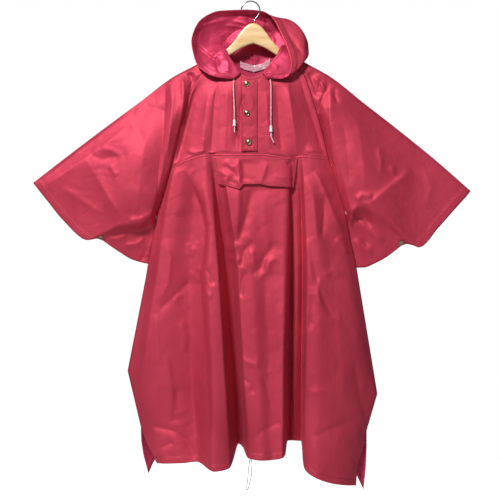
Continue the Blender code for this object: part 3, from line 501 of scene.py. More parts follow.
CREST = (2.5, 1.5)              # rounds a crease's crest: added to the square, taken off the root


def between(lines, columns):
    """A grid across a list of lines, with so many columns between each two."""
    steps = np.concatenate([[0], np.cumsum(columns)])
    places = np.interp(np.arange(steps[-1] + 1), steps, np.arange(len(lines)))
    return smooth(np.arange(len(lines)), np.stack(lines), places).transpose(1, 0, 2)


def creased(grid, creases, fade, outward=-1):
    """A grid of seen points with creases pushed out of it, or into it where they are low.

    Each crease is a path of x and z drawn downwards, its half widths on the viewer's left
    and right, and its height. Across the path the height falls off as exp(-s / w), where w
    is the half width and s the distance with a slightly rounded crest. It fades in and out
    over the first and last quarter of the path, and is multiplied by the fade.
    """
    x, z = grid[..., 0], grid[..., 2]
    total = np.zeros(x.shape)
    for path, left, right, height in creases:
        path = np.asarray(path, float)
        run = run_of(path)
        best = np.full(x.shape, 1e9)
        at = np.zeros(x.shape)
        side = np.zeros(x.shape)
        for start, end, begun, length in zip(path[:-1], path[1:], run[:-1], np.diff(run)):
            across, down = (end - start) / length
            t = np.clip(((x - start[0]) * across + (z - start[1]) * down) / length, 0, 1)
            off_x, off_z = x - start[0] - t * length * across, z - start[1] - t * length * down
            d = np.hypot(off_x, off_z)
            nearer = d < best
            best = np.where(nearer, d, best)
            at = np.where(nearer, (begun + t * length) / run[-1], at)
            side = np.where(nearer, across * off_z - down * off_x, side)
        share = 0.5 + 0.5 * side / np.maximum(best, 1e-6)
        width = left + (right - left) * share
        rounded = np.sqrt(best ** 2 + CREST[0]) - CREST[1]
        ends = np.clip(4 * at, 0, 1) * np.clip(4 * (1 - at), 0, 1)
        total += height * np.exp(-np.maximum(rounded, 0) / width) * ends * (2 - ends)
    out = grid.copy()
    out[..., 1] += outward * total * fade
    return out


def crumples(x_range, z_range, count, seed, length, height, lean=0.0):
    """Small chance creases for `creased`: short slanting lines all over a panel.

    Each is a bent line, 0.3 to 1.2 times the length, turned by the lean and a normal chance
    of 0.8 radians, whose height is 0.4 to 1.3 times the given one, outwards or inwards.
    """
    rng = np.random.default_rng(seed)
    x, z = rng.uniform(*x_range, count), rng.uniform(*z_range, count)
    turn = lean + rng.normal(0, 0.8, count)
    reach = length * rng.uniform(0.3, 1.2, count) / 2
    bow = rng.uniform(-0.25, 0.25, count) * reach
    dx, dz = reach * np.cos(turn), reach * np.sin(turn)
    width = rng.uniform(2.5, 8.0, count)
    rise = height * rng.uniform(0.4, 1.3, count) * rng.choice([-1, 1], count)
    middle = (x - bow * np.sin(turn), z + bow * np.cos(turn))
    paths = np.array([(x - dx, z - dz), middle, (x + dx, z + dz)]).transpose(2, 0, 1)
    return [(path, w, w, h) for path, w, h in zip(paths, width, rise)]


def edges_fade(shape, across, down):
    """1 inside a grid and 0 at its edges: how much of it, across and down, is left calm.

    At a share t of the way the product is of min(1, t / low) and min(1, (1 - t) / high).
    """
    v = np.linspace(0, 1, shape[0])[:, None]
    u = np.linspace(0, 1, shape[1])[None, :]
    out = np.ones(shape[:2])
    for t, (low, high) in ((u, across), (v, down)):
        out = out * np.clip(t / low, 0, 1) * (np.clip((1 - t) / high, 0, 1) if high else 1)
    return out


def straight(knots, values, at):
    """Straight stretches through the values at the knots, read at other places."""
    return np.stack([np.interp(at, knots, column) for column in np.asarray(values, float).T], axis=-1)


def from_edge(grid, edge):
    """A grid turned so that its first row is one of its edges, and how far in each point lies.

    The distance is measured along the grid, square to that edge.
    """
    g = grid if edge in ("top", "foot") else grid.transpose(1, 0, 2)
    g = g if edge in ("top", "left") else g[::-1]
    return g, np.cumsum(np.pad(np.linalg.norm(np.diff(g, axis=0), axis=2), ((1, 0), (0, 0))), axis=0)


def inward(grid, edge):
    """How far each point of a grid lies from one of its edges."""
    away = from_edge(grid, edge)[1]
    return {"top": away, "foot": away[::-1], "left": away.T, "right": away.T[:, ::-1]}[edge]


def cloth(name, grid, materials, node, flip=False, cut=None, hems=()):
    """A thin wall of cloth about a grid of true points, with a UV map in metres of cloth.

    The first material is on the outside and the second on the inside. The wall is a
    Solidify of the sheet; a cut is taken, or measured off the grid, but nothing uses it.
    The attribute "hem" is the distance to the nearest turned or stitched edge, over that
    edge's own width.
    """
    rows, columns = grid.shape[:2]
    index = np.arange(rows * columns).reshape(rows, columns)
    corners = [index[:-1, :-1], index[1:, :-1], index[1:, 1:], index[:-1, 1:]]
    quads = np.stack(corners[::-1] if flip else corners, axis=-1).reshape(-1, 4)
    mesh = mesh_of(name, grid, quads.tolist())
    down, across = inward(grid, "top"), inward(grid, "left")
    uv = np.stack([across, down], axis=-1).reshape(-1, 2)
    layer = mesh.uv_layers.new(name="cloth")
    layer.data.foreach_set("uv", uv[quads.ravel()].ravel().astype(np.float32))
    nearest = [inward(grid, edge) / (width * MM) for edge, width in hems]
    hem = np.min([np.full(grid.shape[:2], HEM_FAR)] + nearest, axis=0)
    mesh.attributes.new("hem", "FLOAT", "POINT").data.foreach_set("value", hem.ravel().astype(np.float32))
    piece = put(name, mesh, materials, node)
    wall = piece.modifiers.new("wall", "SOLIDIFY")
    wall.thickness = CLOTH * MM
    wall.offset = 0.0
    wall.material_offset = len(materials) - 1
    cut = cut or (float(across[:, -1].max()), float(down[-1].max()))
    return piece


def stitches(name, rows, behind=False):
    """Rows of topstitching as one mesh: a small bead of thread for every stitch.

    Each row is a grid, one of its edges and a distance in from it. A bead is a spindle
    with four sides: point (t, a) lies at length * t along the row, and out from it by the
    bead's half width along the cloth or along its normal, and its two ends are points.
    Where the row is behind, the beads stand on the cloth's far side.
    """
    beads = []
    for grid, edge, distance in rows:
        g, away = from_edge(grid, edge)
        column = np.arange(g.shape[1])
        row = np.clip(np.argmax(away >= distance * MM, axis=0), 1, None)
        t = (distance * MM - away[row - 1, column]) / (away[row, column] - away[row - 1, column])
        line = g[row - 1, column] + t[:, None] * (g[row, column] - g[row - 1, column])
        normal = np.cross(g[row, column] - g[row - 1, column], np.gradient(line, axis=0))
        run = run_of(line)
        at = np.arange(STITCH_PITCH, run[-1] - STITCH_PITCH, STITCH_PITCH)
        place = straight(run, line, at)
        beads.append((place, straight(run, line, at + MM) - place, straight(run, normal, at)))
    place, forward, out = (np.concatenate(part) for part in zip(*beads))
    forward /= np.linalg.norm(forward, axis=1, keepdims=True)
    out /= np.linalg.norm(out, axis=1, keepdims=True)
    out *= np.sign(out[:, 1:2]) * (1 if behind else -1)
    side = np.cross(forward, out)
    corners = ((1, 0), (0, 1), (-1, 0), (0, -1))
    shape = [(-0.5, 0, 0)] + [(t, c, h) for t in (-0.3, 0.3) for c, h in corners] + [(0.5, 0, 0)]
    shape = np.array(shape) * STITCH_BEAD * MM
    base = place + out * (CLOTH / 2 + STITCH_PROUD) * MM
    points = (base[:, None] + shape[None, :, :1] * forward[:, None] + shape[None, :, 1:2] * side[:, None]
              + shape[None, :, 2:] * out[:, None])
    faces = [(0, 1 + (k + 1) % 4, 1 + k) for k in range(4)]
    faces += [(1 + k, 1 + (k + 1) % 4, 5 + (k + 1) % 4, 5 + k) for k in range(4)]
    faces += [(9, 5 + k, 5 + (k + 1) % 4) for k in range(4)]
    all_faces = [[v + len(shape) * n for v in face] for n in range(len(points)) for face in faces]
    return put(name, mesh_of(name, points, all_faces), [thread], None)


def spun_thread(name, colour):
    """Sewing thread: dull and twisted, so that its tone flickers."""
    return finish(name, 0.7, 0.0, (1500, 2), ((0.3, shaded(colour, 0.7)), (0.7, colour)), 0.0001)


def nylon(name, colour, deep, roughness, silk):
    """Coated nylon: a smooth fine taffeta, softly crumpled, with a silky gloss.

    The tone wanders over hand-sized patches. The bump is broad slack, then small crumples,
    drawn out along the fall of the cloth, then the edges of bent cells, and finest the two
    threads of the weave on the UV map. By the "hem" attribute turned edges stand up and are
    drawn in along the stitches, and painted shade darkens the colour along the stitch lines
    and a little at the edges.
    """
    material, shader, nodes, links, place = new_material(name, roughness, silk)
    tone = noise_of(nodes, links, place, 7, 5, (1, 1, 0.6))
    colours = ramp_of(nodes, links, tone, ((0.36, deep), (0.58, colour)))
    attribute = nodes.new("ShaderNodeAttribute")
    attribute.attribute_name = "hem"
    half = nodes.new("ShaderNodeMath")
    half.operation = "MULTIPLY"
    half.inputs[1].default_value = 0.5
    links.new(attribute.outputs["Fac"], half.inputs[0])
    turned_in = ((0.0, 1.0), (0.40, 0.94), (0.46, 0.3), (0.50, 0.45), (0.54, 0.0), (0.66, 0.12))
    hem = ramp_of(nodes, links, half.outputs[0], [(at, (height,) * 3) for at, height in turned_in])
    # painted shade: the colour is darkened to 0.78 along the stitch lines and to 0.95 at the edges, where shade
    # falls in the drawn-in cloth
    painted_shade = ((0.0, (0.95, 0.95, 0.95)), (0.03, (1.0, 1.0, 1.0)), (0.42, (1.0, 1.0, 1.0)),
             (0.47, (0.78, 0.76, 0.76)), (0.53, (0.97, 0.97, 0.97)), (0.6, (1.0, 1.0, 1.0)))
    # the base colour times the painted shade of the stitch lines and edges
    painted_shade_mix = nodes.new("ShaderNodeMix")
    painted_shade_mix.data_type = "RGBA"
    painted_shade_mix.blend_type = "MULTIPLY"
    painted_shade_mix.inputs["Factor"].default_value = 1.0
    links.new(colours, painted_shade_mix.inputs["A"])
    links.new(ramp_of(nodes, links, half.outputs[0], painted_shade), painted_shade_mix.inputs["B"])
    links.new(painted_shade_mix.outputs["Result"], shader.inputs["Base Color"])

    normal = bump_of(nodes, links, hem, HEM_HEIGHT)
    for scale, detail, fall, height in NYLON_RELIEF:
        crumple = noise_of(nodes, links, place, scale, detail, (1, 1, fall))
        normal = bump_of(nodes, links, crumple, height, normal, 0.5)
    cells = nodes.new("ShaderNodeTexVoronoi")
    cells.feature = "DISTANCE_TO_EDGE"
    cells.inputs["Scale"].default_value = CRUSH_CELLS
    bent = nodes.new("ShaderNodeMix")
    bent.data_type = "VECTOR"
    bent.inputs["Factor"].default_value = CRUSH_BEND
    wander = nodes.new("ShaderNodeTexNoise")
    wander.inputs["Scale"].default_value = CRUSH_WANDER
    links.new(place, wander.inputs["Vector"])
    links.new(place, bent.inputs["A"])
    links.new(wander.outputs["Color"], bent.inputs["B"])
    links.new(bent.outputs["Result"], cells.inputs["Vector"])
    normal = bump_of(nodes, links, cells.outputs["Distance"], CRUSH_HEIGHT, normal, 0.12)
    threads = nodes.new("ShaderNodeTexCoord").outputs["UV"]
    for turn in (0.0, np.pi / 2):
        turned = nodes.new("ShaderNodeMapping")
        turned.inputs["Rotation"].default_value = (0, 0, turn)
        links.new(threads, turned.inputs["Vector"])
        weave = nodes.new("ShaderNodeTexWave")
        weave.inputs["Scale"].default_value = WEAVE
        links.new(turned.outputs[0], weave.inputs["Vector"])
        normal = bump_of(nodes, links, weave.outputs["Fac"], WEAVE_HEIGHT, normal, 0.5)
    links.new(normal, shader.inputs["Normal"])
    rough = nodes.new("ShaderNodeMapRange")
    rough.inputs["To Min"].default_value = roughness - ROUGHNESS_SPREAD
    rough.inputs["To Max"].default_value = roughness + ROUGHNESS_SPREAD
    links.new(tone, rough.inputs["Value"])
    links.new(rough.outputs[0], shader.inputs["Roughness"])
    shader.inputs["Specular IOR Level"].default_value = 0.35
    shader.inputs["Sheen Weight"].default_value = 0.05
    shader.inputs["Sheen Roughness"].default_value = 0.35
    shader.inputs["Sheen Tint"].default_value = (1.0, 0.45, 0.55, 1)
    return material


face = nylon("nylon_face", RED, RED_DEEP, 0.60, 0.44)
inside = nylon("nylon_inner", INNER, INNER_DEEP, 0.50, 0.42)
thread = spun_thread("thread", THREAD)
HOOD_CREASES = (
    # path (x, z), half widths on its left and right, height towards the viewer
    (((-156, -113), (-112, -147), (-80, -170)), 26, 5, -9.0),
    (((-15, -58), (-60, -98), (-95, -134), (-140, -178)), 34, 5, -9.0),
    (((-90, -140), (-92, -165), (-86, -192)), 4, 22, -6.0),
    (((-64, -150), (-60, -172), (-62, -190)), 16, 5, 4.0),
    (((40, -70), (56, -92), (66, -118)), 10, 5, -5.0),
    (((0, -146), (14, -164), (12, -172)), 5, 4, 4.0),
    (((-50, -52), (-20, -58), (0, -66)), 4, 4, 3.5),
    (((-70, -64), (-40, -66), (-10, -72)), 4, 5, 3.5),
    (((66, -43), (100, -90), (141, -143)), 6, 6, -5.6),
    (((-150, -80), (-120, -60), (-60, -48)), 8, 8, 4),
    (((-60, -30), (10, -45), (50, -60)), 6, 6, -3.2),
    (((10, -140), (20, -160)), 5, 5, 4.8),
)


def hood_grid(rows, finer):
    """The hood from the neck seam to the rim, and round it from one front end to the other."""
    lines = [smooth(HOOD_RINGS, station, np.linspace(0, 1, rows)) for station in by_depth(HOOD)]
    return between(lines, [finer] * (len(lines) - 1))


hood = hood_grid(rows=70, finer=11)
calm = edges_fade(hood.shape, across=(0.04, 0.04), down=(0.15, 0.08))
hood = creased(hood, HOOD_CREASES, calm)
hood = creased(hood, crumples((-160, 160), (-210, -20), count=70, seed=5, length=40, height=1.1), calm)
hood = seen(hood)
cloth("hood_bag", hood, [inside, face], "hood", flip=True,
      hems=(("foot", HOOD_CASING), ("top", SEAM_TURN)))
stitches("hood_stitches", [(hood, "foot", HOOD_CASING)])

# The neck tape: a strip of pale shiny satin that covers the seam at the back of the neck.
TAPE_ACROSS = (-28, 53)
TAPE_HEIGHT = 18.0
TAPE_MIDDLE = -181.0
TAPE_PUCKER = 0.35
TAPE_PUCKER_RUN = 3.1
TAPE_BOW = 0.3
TAPE_PALE = (0.74, 0.36, 0.43)
NECKLINE_BACK = (
    # x, z, depth
    (-57, -144, 12), (-42, -154, 20), (-18, -169, 27), (9, -176, 29), (36, -169, 27), (52, -157, 20),
    (68, -144, 12),
)
LAP = 2.1                       # how far two layers stand apart


def satin():
    """Satin: fine ribs across the tape under a bright, streaky gloss."""
    stops = ((0.35, shaded(TAPE_PALE, 0.75)), (0.65, TAPE_PALE))
    return finish("neck_tape", 0.25, 0.0, (90, 3, (0.4, 1, 2.5)), stops, 0.002, Sheen_Weight=0.3)


x = np.linspace(*TAPE_ACROSS, 80)
neckline = np.array(NECKLINE_BACK, float)
depth = np.interp(x, neckline[:, 0], neckline[:, 2]) - LAP
drop = np.interp(x, neckline[:, 0], neckline[:, 1]) - neckline[:, 1].min()
down = np.linspace(0.5, -0.5, 16)[:, None]
pucker = TAPE_PUCKER * np.sin(x / TAPE_PUCKER_RUN) * (2 * down) ** 2
bow = TAPE_BOW * (1 - 4 * down ** 2)
tape = np.broadcast_arrays(x, depth - bow + pucker, TAPE_MIDDLE + drop + TAPE_HEIGHT * down)
tape = np.stack(tape, axis=-1)
cloth("neck_tape_satin", seen(tape), [satin()], "neck_tape")

# The yoke: the upper front, in two halves with a narrow underlap between them, cut in one
# layer of nylon. Sleeves meet it at the raglan seams, where its folds run down from the neck.
RAGLAN_LEFT = (
    # x, z, front depth, back depth
    (-62, -143, -10, 10), (-100, -165, -14, 14), (-137, -200, -17, 17), (-161, -246, -19, 20),
    (-183, -321, -20, 22), (-212, -443, -20, 24), (-251, -570, -14, 20), (-265, -643, -9, 12),
    (-277, -707, -4.4, 4.4),
)
RAGLAN_RIGHT = (
    (74, -143, -10, 10), (110, -165, -14, 14), (146, -200, -17, 17), (162, -246, -19, 20),
    (185, -321, -20, 22), (209, -421, -20, 24), (256, -570, -14, 20), (269, -643, -9, 12),
    (286, -718, -4.4, 4.4),
)
RAGLAN_ON_YOKE = (0.0, 0.06, 0.15, 0.27, 0.54, 1.0)
YOKE_SEAM = (
    # x, z, depth
    (-212, -443, -20), (-196, -436, -28), (-179, -428, -32), (-147, -416, -34), (-124, -411, -36.5),
    (-104, -409, -32), (-77, -409, -36), (-29, -409, -38), (31, -409, -39), (85, -416, -38),
    (104, -417, -37), (123, -416, -32), (141, -414, -37), (174, -417, -34), (193, -419, -28),
    (209, -421, -20),
)
YOKE_LEVELS = (0.0, 0.28, 0.58, 1.0)
YOKE_HEIGHTS = (-251, -332)
YOKE_FOLDS = (
    # name, neckline, x at the levels, depths, columns on its left
    ("left seam roll", (-57, -151, -14), (-123, -145, -169), (-24, -26), 3),
    ("left ridge", (-50, -159, -18), (-99, -110, -120), (-33, -37), 3),
    ("left hollow", (-42, -170, -24), (-75, -77, -85), (-33, -33), 3),
    ("left chest", (-31, -184, -30), (-48, -48, -53), (-37, -38), 2),
    ("left of placket", (-25, -195, -33), (-25, -25, -25), (-36, -37), 2),
    ("under placket", (-3, -203, -35), (-4, -4, -4), (-37, -38), 2),
    ("right of placket", (17, -201, -35), (16, 16, 16), (-37, -38), 2),
    ("right chest", (32, -193, -33), (42, 44, 47), (-38, -39), 2),
    ("right hollow", (42, -181, -29), (69, 77, 87), (-35, -35), 2),
    ("right ridge", (51, -169, -24), (98, 114, 128), (-35, -38), 3),
    ("right seam roll", (60, -157, -18), (128, 150, 168), (-27, -30), 3),
)
YOKE_EDGE_COLUMNS = 3
PLACKET_LINES = (5, 7)
SEAM_GAP = 0.4
YOKE_STITCH = 3.5


def on_seam(x):
    """Points of the seam between the yoke and the skirt, at given x."""
    return smooth([row[0] for row in YOKE_SEAM], by_depth(YOKE_SEAM), x)


def yoke_grid(rows, finer):
    """The whole yoke, raglan seam to raglan seam: a smooth curve down each fold, and across."""
    lines = [straight(RAGLAN_ON_YOKE, by_depth(RAGLAN_LEFT[:6]), rows)]
    for _, neckline, across, depths, _ in YOKE_FOLDS:
        foot = on_seam(np.array([across[-1]]))[0]
        x, z = (neckline[0],) + across, (neckline[1],) + YOKE_HEIGHTS + (foot[2],)
        depth = (neckline[2],) + depths + (foot[1],)
        lines.append(smooth(YOKE_LEVELS, np.stack([x, depth, z], axis=1), rows))
    lines.append(straight(RAGLAN_ON_YOKE, by_depth(RAGLAN_RIGHT[:6]), rows))
    columns = [finer * fold[-1] for fold in YOKE_FOLDS] + [finer * YOKE_EDGE_COLUMNS]
    grid = between(lines, columns)
    grid[-1] = on_seam(grid[-1, :, 0])
    return grid, np.concatenate([[0], np.cumsum(columns)])


YOKE_CREASES = (
    # path (x, z), half widths on its left and right, height towards the viewer
    (((-140, -205), (-158, -260), (-174, -321), (-190, -380), (-203, -440)), 4, 18, -12),
    (((-14, -250), (-27, -283), (-28, -340), (-28, -405)), 12, 2, -6),
    (((-112, -215), (-123, -319), (-131, -425)), 20, 10, 4.5),
    (((-91, -215), (-99, -292), (-107, -420)), 14, 7, -4.9),
    (((-62, -215), (-66, -320), (-73, -425)), 14, 10, 4.2),
    (((-40, -230), (-42, -320), (-40, -400)), 10, 6, -2.8),
    (((70, -225), (74, -300), (84, -420)), 10, 14, -4.2),
    (((98, -205), (112, -305), (128, -425)), 16, 12, 5),
    (((131, -195), (155, -278), (182, -359), (203, -430)), 16, 5, -5.5),
    (((42, -240), (46, -320), (52, -400)), 12, 8, 2.8),
    (((-175, -400), (-150, -408), (-120, -402)), 5, 7, 2.8),
    (((150, -405), (175, -400), (196, -408)), 5, 7, 2.8),
)
yoke, steps = yoke_grid(np.linspace(0, 1, 110), finer=6)
calm = edges_fade(yoke.shape, across=(0.04, 0.04), down=(0.05, 0.04))
yoke = creased(yoke, YOKE_CREASES, calm)
chance = crumples((-200, 200), (-430, -200), count=60, seed=11, length=60, height=0.6, lean=1.5)
yoke = creased(yoke, chance, calm)
left, right = steps[PLACKET_LINES[0]], steps[PLACKET_LINES[1]]
seam_rows = []
for name, columns, left_trim, right_trim in (
    ("front_yoke_left", slice(0, left + 1), 0, -SEAM_GAP / 2),
    ("placket_underlap", slice(left, right + 1), SEAM_GAP / 2, -SEAM_GAP / 2),
    ("front_yoke_right", slice(right, None), SEAM_GAP / 2, 0),
):
    piece = yoke[:, columns].copy()
    piece[:, 0, 0] += left_trim
    piece[:, -1, 0] += right_trim
    piece = seen(piece)
    cloth(name + "_nylon", piece, [face, inside], name,
          hems=(("foot", YOKE_STITCH), ("top", SEAM_TURN)))
    seam_rows.append((piece, "foot", YOKE_STITCH))

# The placket: a stitched band over the front opening, whose upper corner is turned open
# along a slanting edge. Snaps close it; the top one is open, so its ring shows below.
PLACKET_RIGHT = 18.0
PLACKET_LEFT = -24.6
PLACKET_TOP = -208.0
PLACKET_FOOT = -403.0
PLACKET_TURN = -281.0
PLACKET_POINT = 13.0
PLACKET_LIFT = (5.0, LAP)
PLACKET_STITCH = 3.0
PLACKET_FOOT_STITCHES = (4.0, 9.0)
PLACKET_BAR = 72.0              # the row of stitches across it, below its top


def as_seen(points):
    """Where true points look to be, as x and z in millimetres."""
    nearness = (points[..., 1] / MM - EYE[1]) / -EYE[1]
    z = EYE[2] + (points[..., 2] / MM - EYE[2]) / nearness
    return np.stack([points[..., 0] / nearness / MM, z], axis=-1)


def lie_on(host, x, z, lift):
    """Points that look to be at x, z and stand a lift off a host grid, towards the eye.

    Each starts at the host's nearest grid point, moves within the surface by the host's
    own slopes there, then out along its normal.
    """
    down, across = np.gradient(host, axis=(0, 1))
    flat = as_seen(host)
    flat_down, flat_across = (slope.reshape(-1, 2) for slope in np.gradient(flat, axis=(0, 1)))
    flat = flat.reshape(-1, 2)
    wanted = np.stack([x, z], axis=-1).reshape(-1, 2)
    nearest = np.array([np.argmin(((flat - place) ** 2).sum(axis=1)) for place in wanted])
    slopes = np.stack([flat_down[nearest], flat_across[nearest]], axis=-1)
    steps = np.linalg.solve(slopes, (wanted - flat[nearest])[..., None])
    down, across = down.reshape(-1, 3)[nearest], across.reshape(-1, 3)[nearest]
    normal = np.cross(down, across)
    normal *= -np.sign(normal[:, 1:2]) / np.linalg.norm(normal, axis=1, keepdims=True)
    points = host.reshape(-1, 3)[nearest] + down * steps[:, 0] + across * steps[:, 1]
    return (points + normal * np.broadcast_to(lift, np.shape(x)).reshape(-1, 1) * MM).reshape(*np.shape(x), 3)


def creased_in_place(grid, creases, fade):
    """A grid of true points, creased as it is seen."""
    x, z = np.moveaxis(as_seen(grid), -1, 0)
    return seen(creased(np.stack([x, grid[..., 1] / MM, z], axis=-1), creases, fade))


def placket_lift(x):
    """How far the placket stands off the yoke, at given x."""
    return np.interp(x, (PLACKET_LEFT, PLACKET_RIGHT), PLACKET_LIFT)


calm_yoke = seen(yoke_grid(np.linspace(0, 1, 60), finer=4)[0])
heights = np.linspace(PLACKET_TOP, PLACKET_FOOT, 70)
left_edge = np.interp(heights, (PLACKET_TURN, PLACKET_TOP), (PLACKET_LEFT, PLACKET_POINT))[:, None]
x = left_edge + (PLACKET_RIGHT - left_edge) * np.linspace(0, 1, 24)
z = np.broadcast_to(heights[:, None], x.shape)
placket = lie_on(calm_yoke, x, z, placket_lift(x))
PLACKET_CREASES = (
    # path (x, z), half widths on its left and right, height towards the viewer
    (((-22, -360), (-8, -368), (14, -362)), 4, 6, 1.6),
    (((-20, -392), (-10, -385), (6, -390)), 4, 5, -1.2),
    (((-4, -240), (6, -270), (2, -296)), 6, 5, 1.6),
    (((-20, -330), (-2, -338), (14, -332)), 4, 5, -1.0),
)
calm = edges_fade(placket.shape, across=(0.1, 0.1), down=(0.05, 0.05))
placket = creased_in_place(placket, PLACKET_CREASES, calm)
cloth("placket_band", placket, [face, inside], "placket",
      hems=(("left", PLACKET_STITCH), ("right", PLACKET_STITCH), ("foot", PLACKET_FOOT_STITCHES[0])))
edges = [("left", PLACKET_STITCH), ("right", PLACKET_STITCH),
         *(("foot", distance) for distance in PLACKET_FOOT_STITCHES), ("top", PLACKET_BAR)]
stitches("placket_stitches", [(placket, *edge) for edge in edges])

# The snaps: pressed brass caps, 15 mm across, dulled and browned, with a rolled rim.
SNAPS = (
    # CAD node, its host, x, z, how far its base stands off
    ("snap_top", "yoke", -11, -221, 1.35),
    ("snap_middle", "placket", -10, -301, 1.35),
    ("snap_bottom", "placket", -5, -379, 1.35),
)
SNAP_PROFILE = (
    # radius, height
    (0.01, 0), (6.9, 0), (7.35, 0.35), (7.5, 0.9), (7.4, 1.5), (7.0, 1.9), (6.5, 1.85), (6.1, 1.55), (5.6, 1.5),
    (4.6, 1.9), (3.4, 2.35), (2.0, 2.75), (0.8, 2.88), (0.01, 2.9),
)
BRASS = (0.25, 0.19, 0.11)
BRASS_BROWNED = (0.09, 0.075, 0.045)
BRASS_WORN = (0.56, 0.46, 0.34)


def aged_brass():
    """Brass, browned and worn bright in patches."""
    stops = ((0.35, BRASS_BROWNED), (0.52, BRASS), (0.75, BRASS_WORN))
    return finish("snap_brass", 0.34, 1.0, (260, 4), stops, 0.0002)


def make_snap(node, host, x, z, lift):
    """A snap whose base lies along the host's surface."""
    base, tip = lie_on(host, np.array([x, x]), np.array([z, z]), np.array([lift, lift + 1]))
    mesh = turned_mesh(node, SNAP_PROFILE, base, tip - base, sides=32)
    return put(node + "_cap", mesh, [brass], node)


brass = aged_brass()
for node, host, x, z, lift in SNAPS:
    make_snap(node, calm_yoke, x, z, lift + (placket_lift(x) if host == "placket" else 0))

# The skirt: the wide lower front, one layer of nylon from the yoke's seam to the hem. Its
# cloth falls in deep soft folds, and its side edges part from the back at the slits.
RAGLAN_ON_SKIRT = (0.0, 0.17, 0.26, 0.34)
SIDE_LEFT = (
    # on the skirt, on the back, x, z, depth
    (0.40, 0.55, -283, -745, 1.1), (0.68, 0.78, -332, -996, 1.1), (0.85, 0.91, -296, -1148, 1.1),
)
SIDE_RIGHT = (
    (0.40, 0.55, 293, -760, 1.1), (0.68, 0.78, 342, -1058, 1.1), (0.85, 0.91, 313, -1158, 1.1),
)
SLIT_FRONT_LEFT = ((0.93, -281, -1190, -9), (1.0, -253, -1246, -24))
SLIT_FRONT_RIGHT = ((0.89, 304, -1207, -8), (0.93, 288, -1246, -15), (1.0, 285, -1306, -24))
SKIRT_LEVELS = (0.0, 0.36, 0.70, 1.0)
SKIRT_HEIGHTS = (-718, -1020)
SKIRT_FOLDS = (
    # name, x, height of the hem, depths, columns on its left
    ("left roll", (-196, -245, -282, -228), -1247, (-27, -26, -42), 2),
    ("left panel", (-169, -212, -228, -185), -1246, (-34, -36, -47), 3),
    ("left hollow", (-147, -169, -164, -145), -1242, (-29, -30, -43), 3),
    ("first ridge", (-124, -111, -104, -99), -1269, (-56, -80, -98), 4),
    ("first ridge's flank", (-115, -85, -69, -58), -1260, (-48, -68, -86), 3),
    ("first trough", (-104, -66, -42, -33), -1193, (-16, -2, 10), 3),
    ("first trough's side", (-89, -53, -31, -21), -1202, (-20, -6, 4), 2),
    ("middle ridge's edge", (-77, -34, -18, -6), -1232, (-46, -58, -64), 3),
    ("middle ridge", (-29, 4, 20, 31), -1239, (-58, -74, -82), 3),
    ("middle dip", (31, 44, 52, 59), -1237, (-50, -66, -74), 2),
    ("middle's right", (85, 87, 85, 83), -1233, (-53, -69, -79), 2),
    ("second trough's edge", (104, 101, 94, 93), -1224, (-42, -52, -58), 2),
    ("second trough", (110, 110, 104, 100), -1185, (-14, 0, 8), 2),
    ("bright thread", (123, 125, 120, 117), -1183, (-18, -6, 2), 2),
    ("second trough's side", (133, 141, 137, 136), -1185, (-14, 0, 8), 2),
    ("last ridge's edge", (141, 152, 146, 144), -1257, (-42, -54, -60), 2),
    ("last ridge", (158, 182, 182, 182), -1289, (-54, -72, -84), 3),
    ("right panel", (174, 220, 241, 231), -1303, (-40, -56, -72), 3),
    ("right roll", (193, 258, 295, 264), -1306, (-28, -32, -46), 2),
)
SKIRT_EDGE_COLUMNS = 2
SKIRT_STITCH = 6.5
BODY_HEM = 18.0


def skirt_edge(raglan, side, slit, rows):
    """One side edge of the skirt: the end of the raglan seam, the side seam and the slit."""
    levels = RAGLAN_ON_SKIRT + tuple(row[0] for row in side + slit)
    places = [row[:3] for row in raglan[5:]]
    places += [(x, z, -depth) for _, _, x, z, depth in side]
    places += [row[1:] for row in slit]
    return straight(levels, by_depth(places), rows)


def skirt_grid(rows, finer):
    """The skirt, side edge to side edge: a smooth curve down each fold, and across them."""
    lines = [skirt_edge(RAGLAN_LEFT, SIDE_LEFT, SLIT_FRONT_LEFT, rows)]
    for _, across, hem, depths, _ in SKIRT_FOLDS:
        head = on_seam(np.array([across[0]]))[0]
        z = (head[2],) + SKIRT_HEIGHTS + (hem,)
        lines.append(smooth(SKIRT_LEVELS, np.stack([across, (head[1],) + depths, z], axis=1), rows))
    lines.append(skirt_edge(RAGLAN_RIGHT, SIDE_RIGHT, SLIT_FRONT_RIGHT, rows))
    grid = between(lines, [finer * fold[-1] for fold in SKIRT_FOLDS] + [finer * SKIRT_EDGE_COLUMNS])
    if rows[0] == 0:
        grid[0] = on_seam(grid[0, :, 0]) - (0, 0, SEAM_GAP)
    return grid


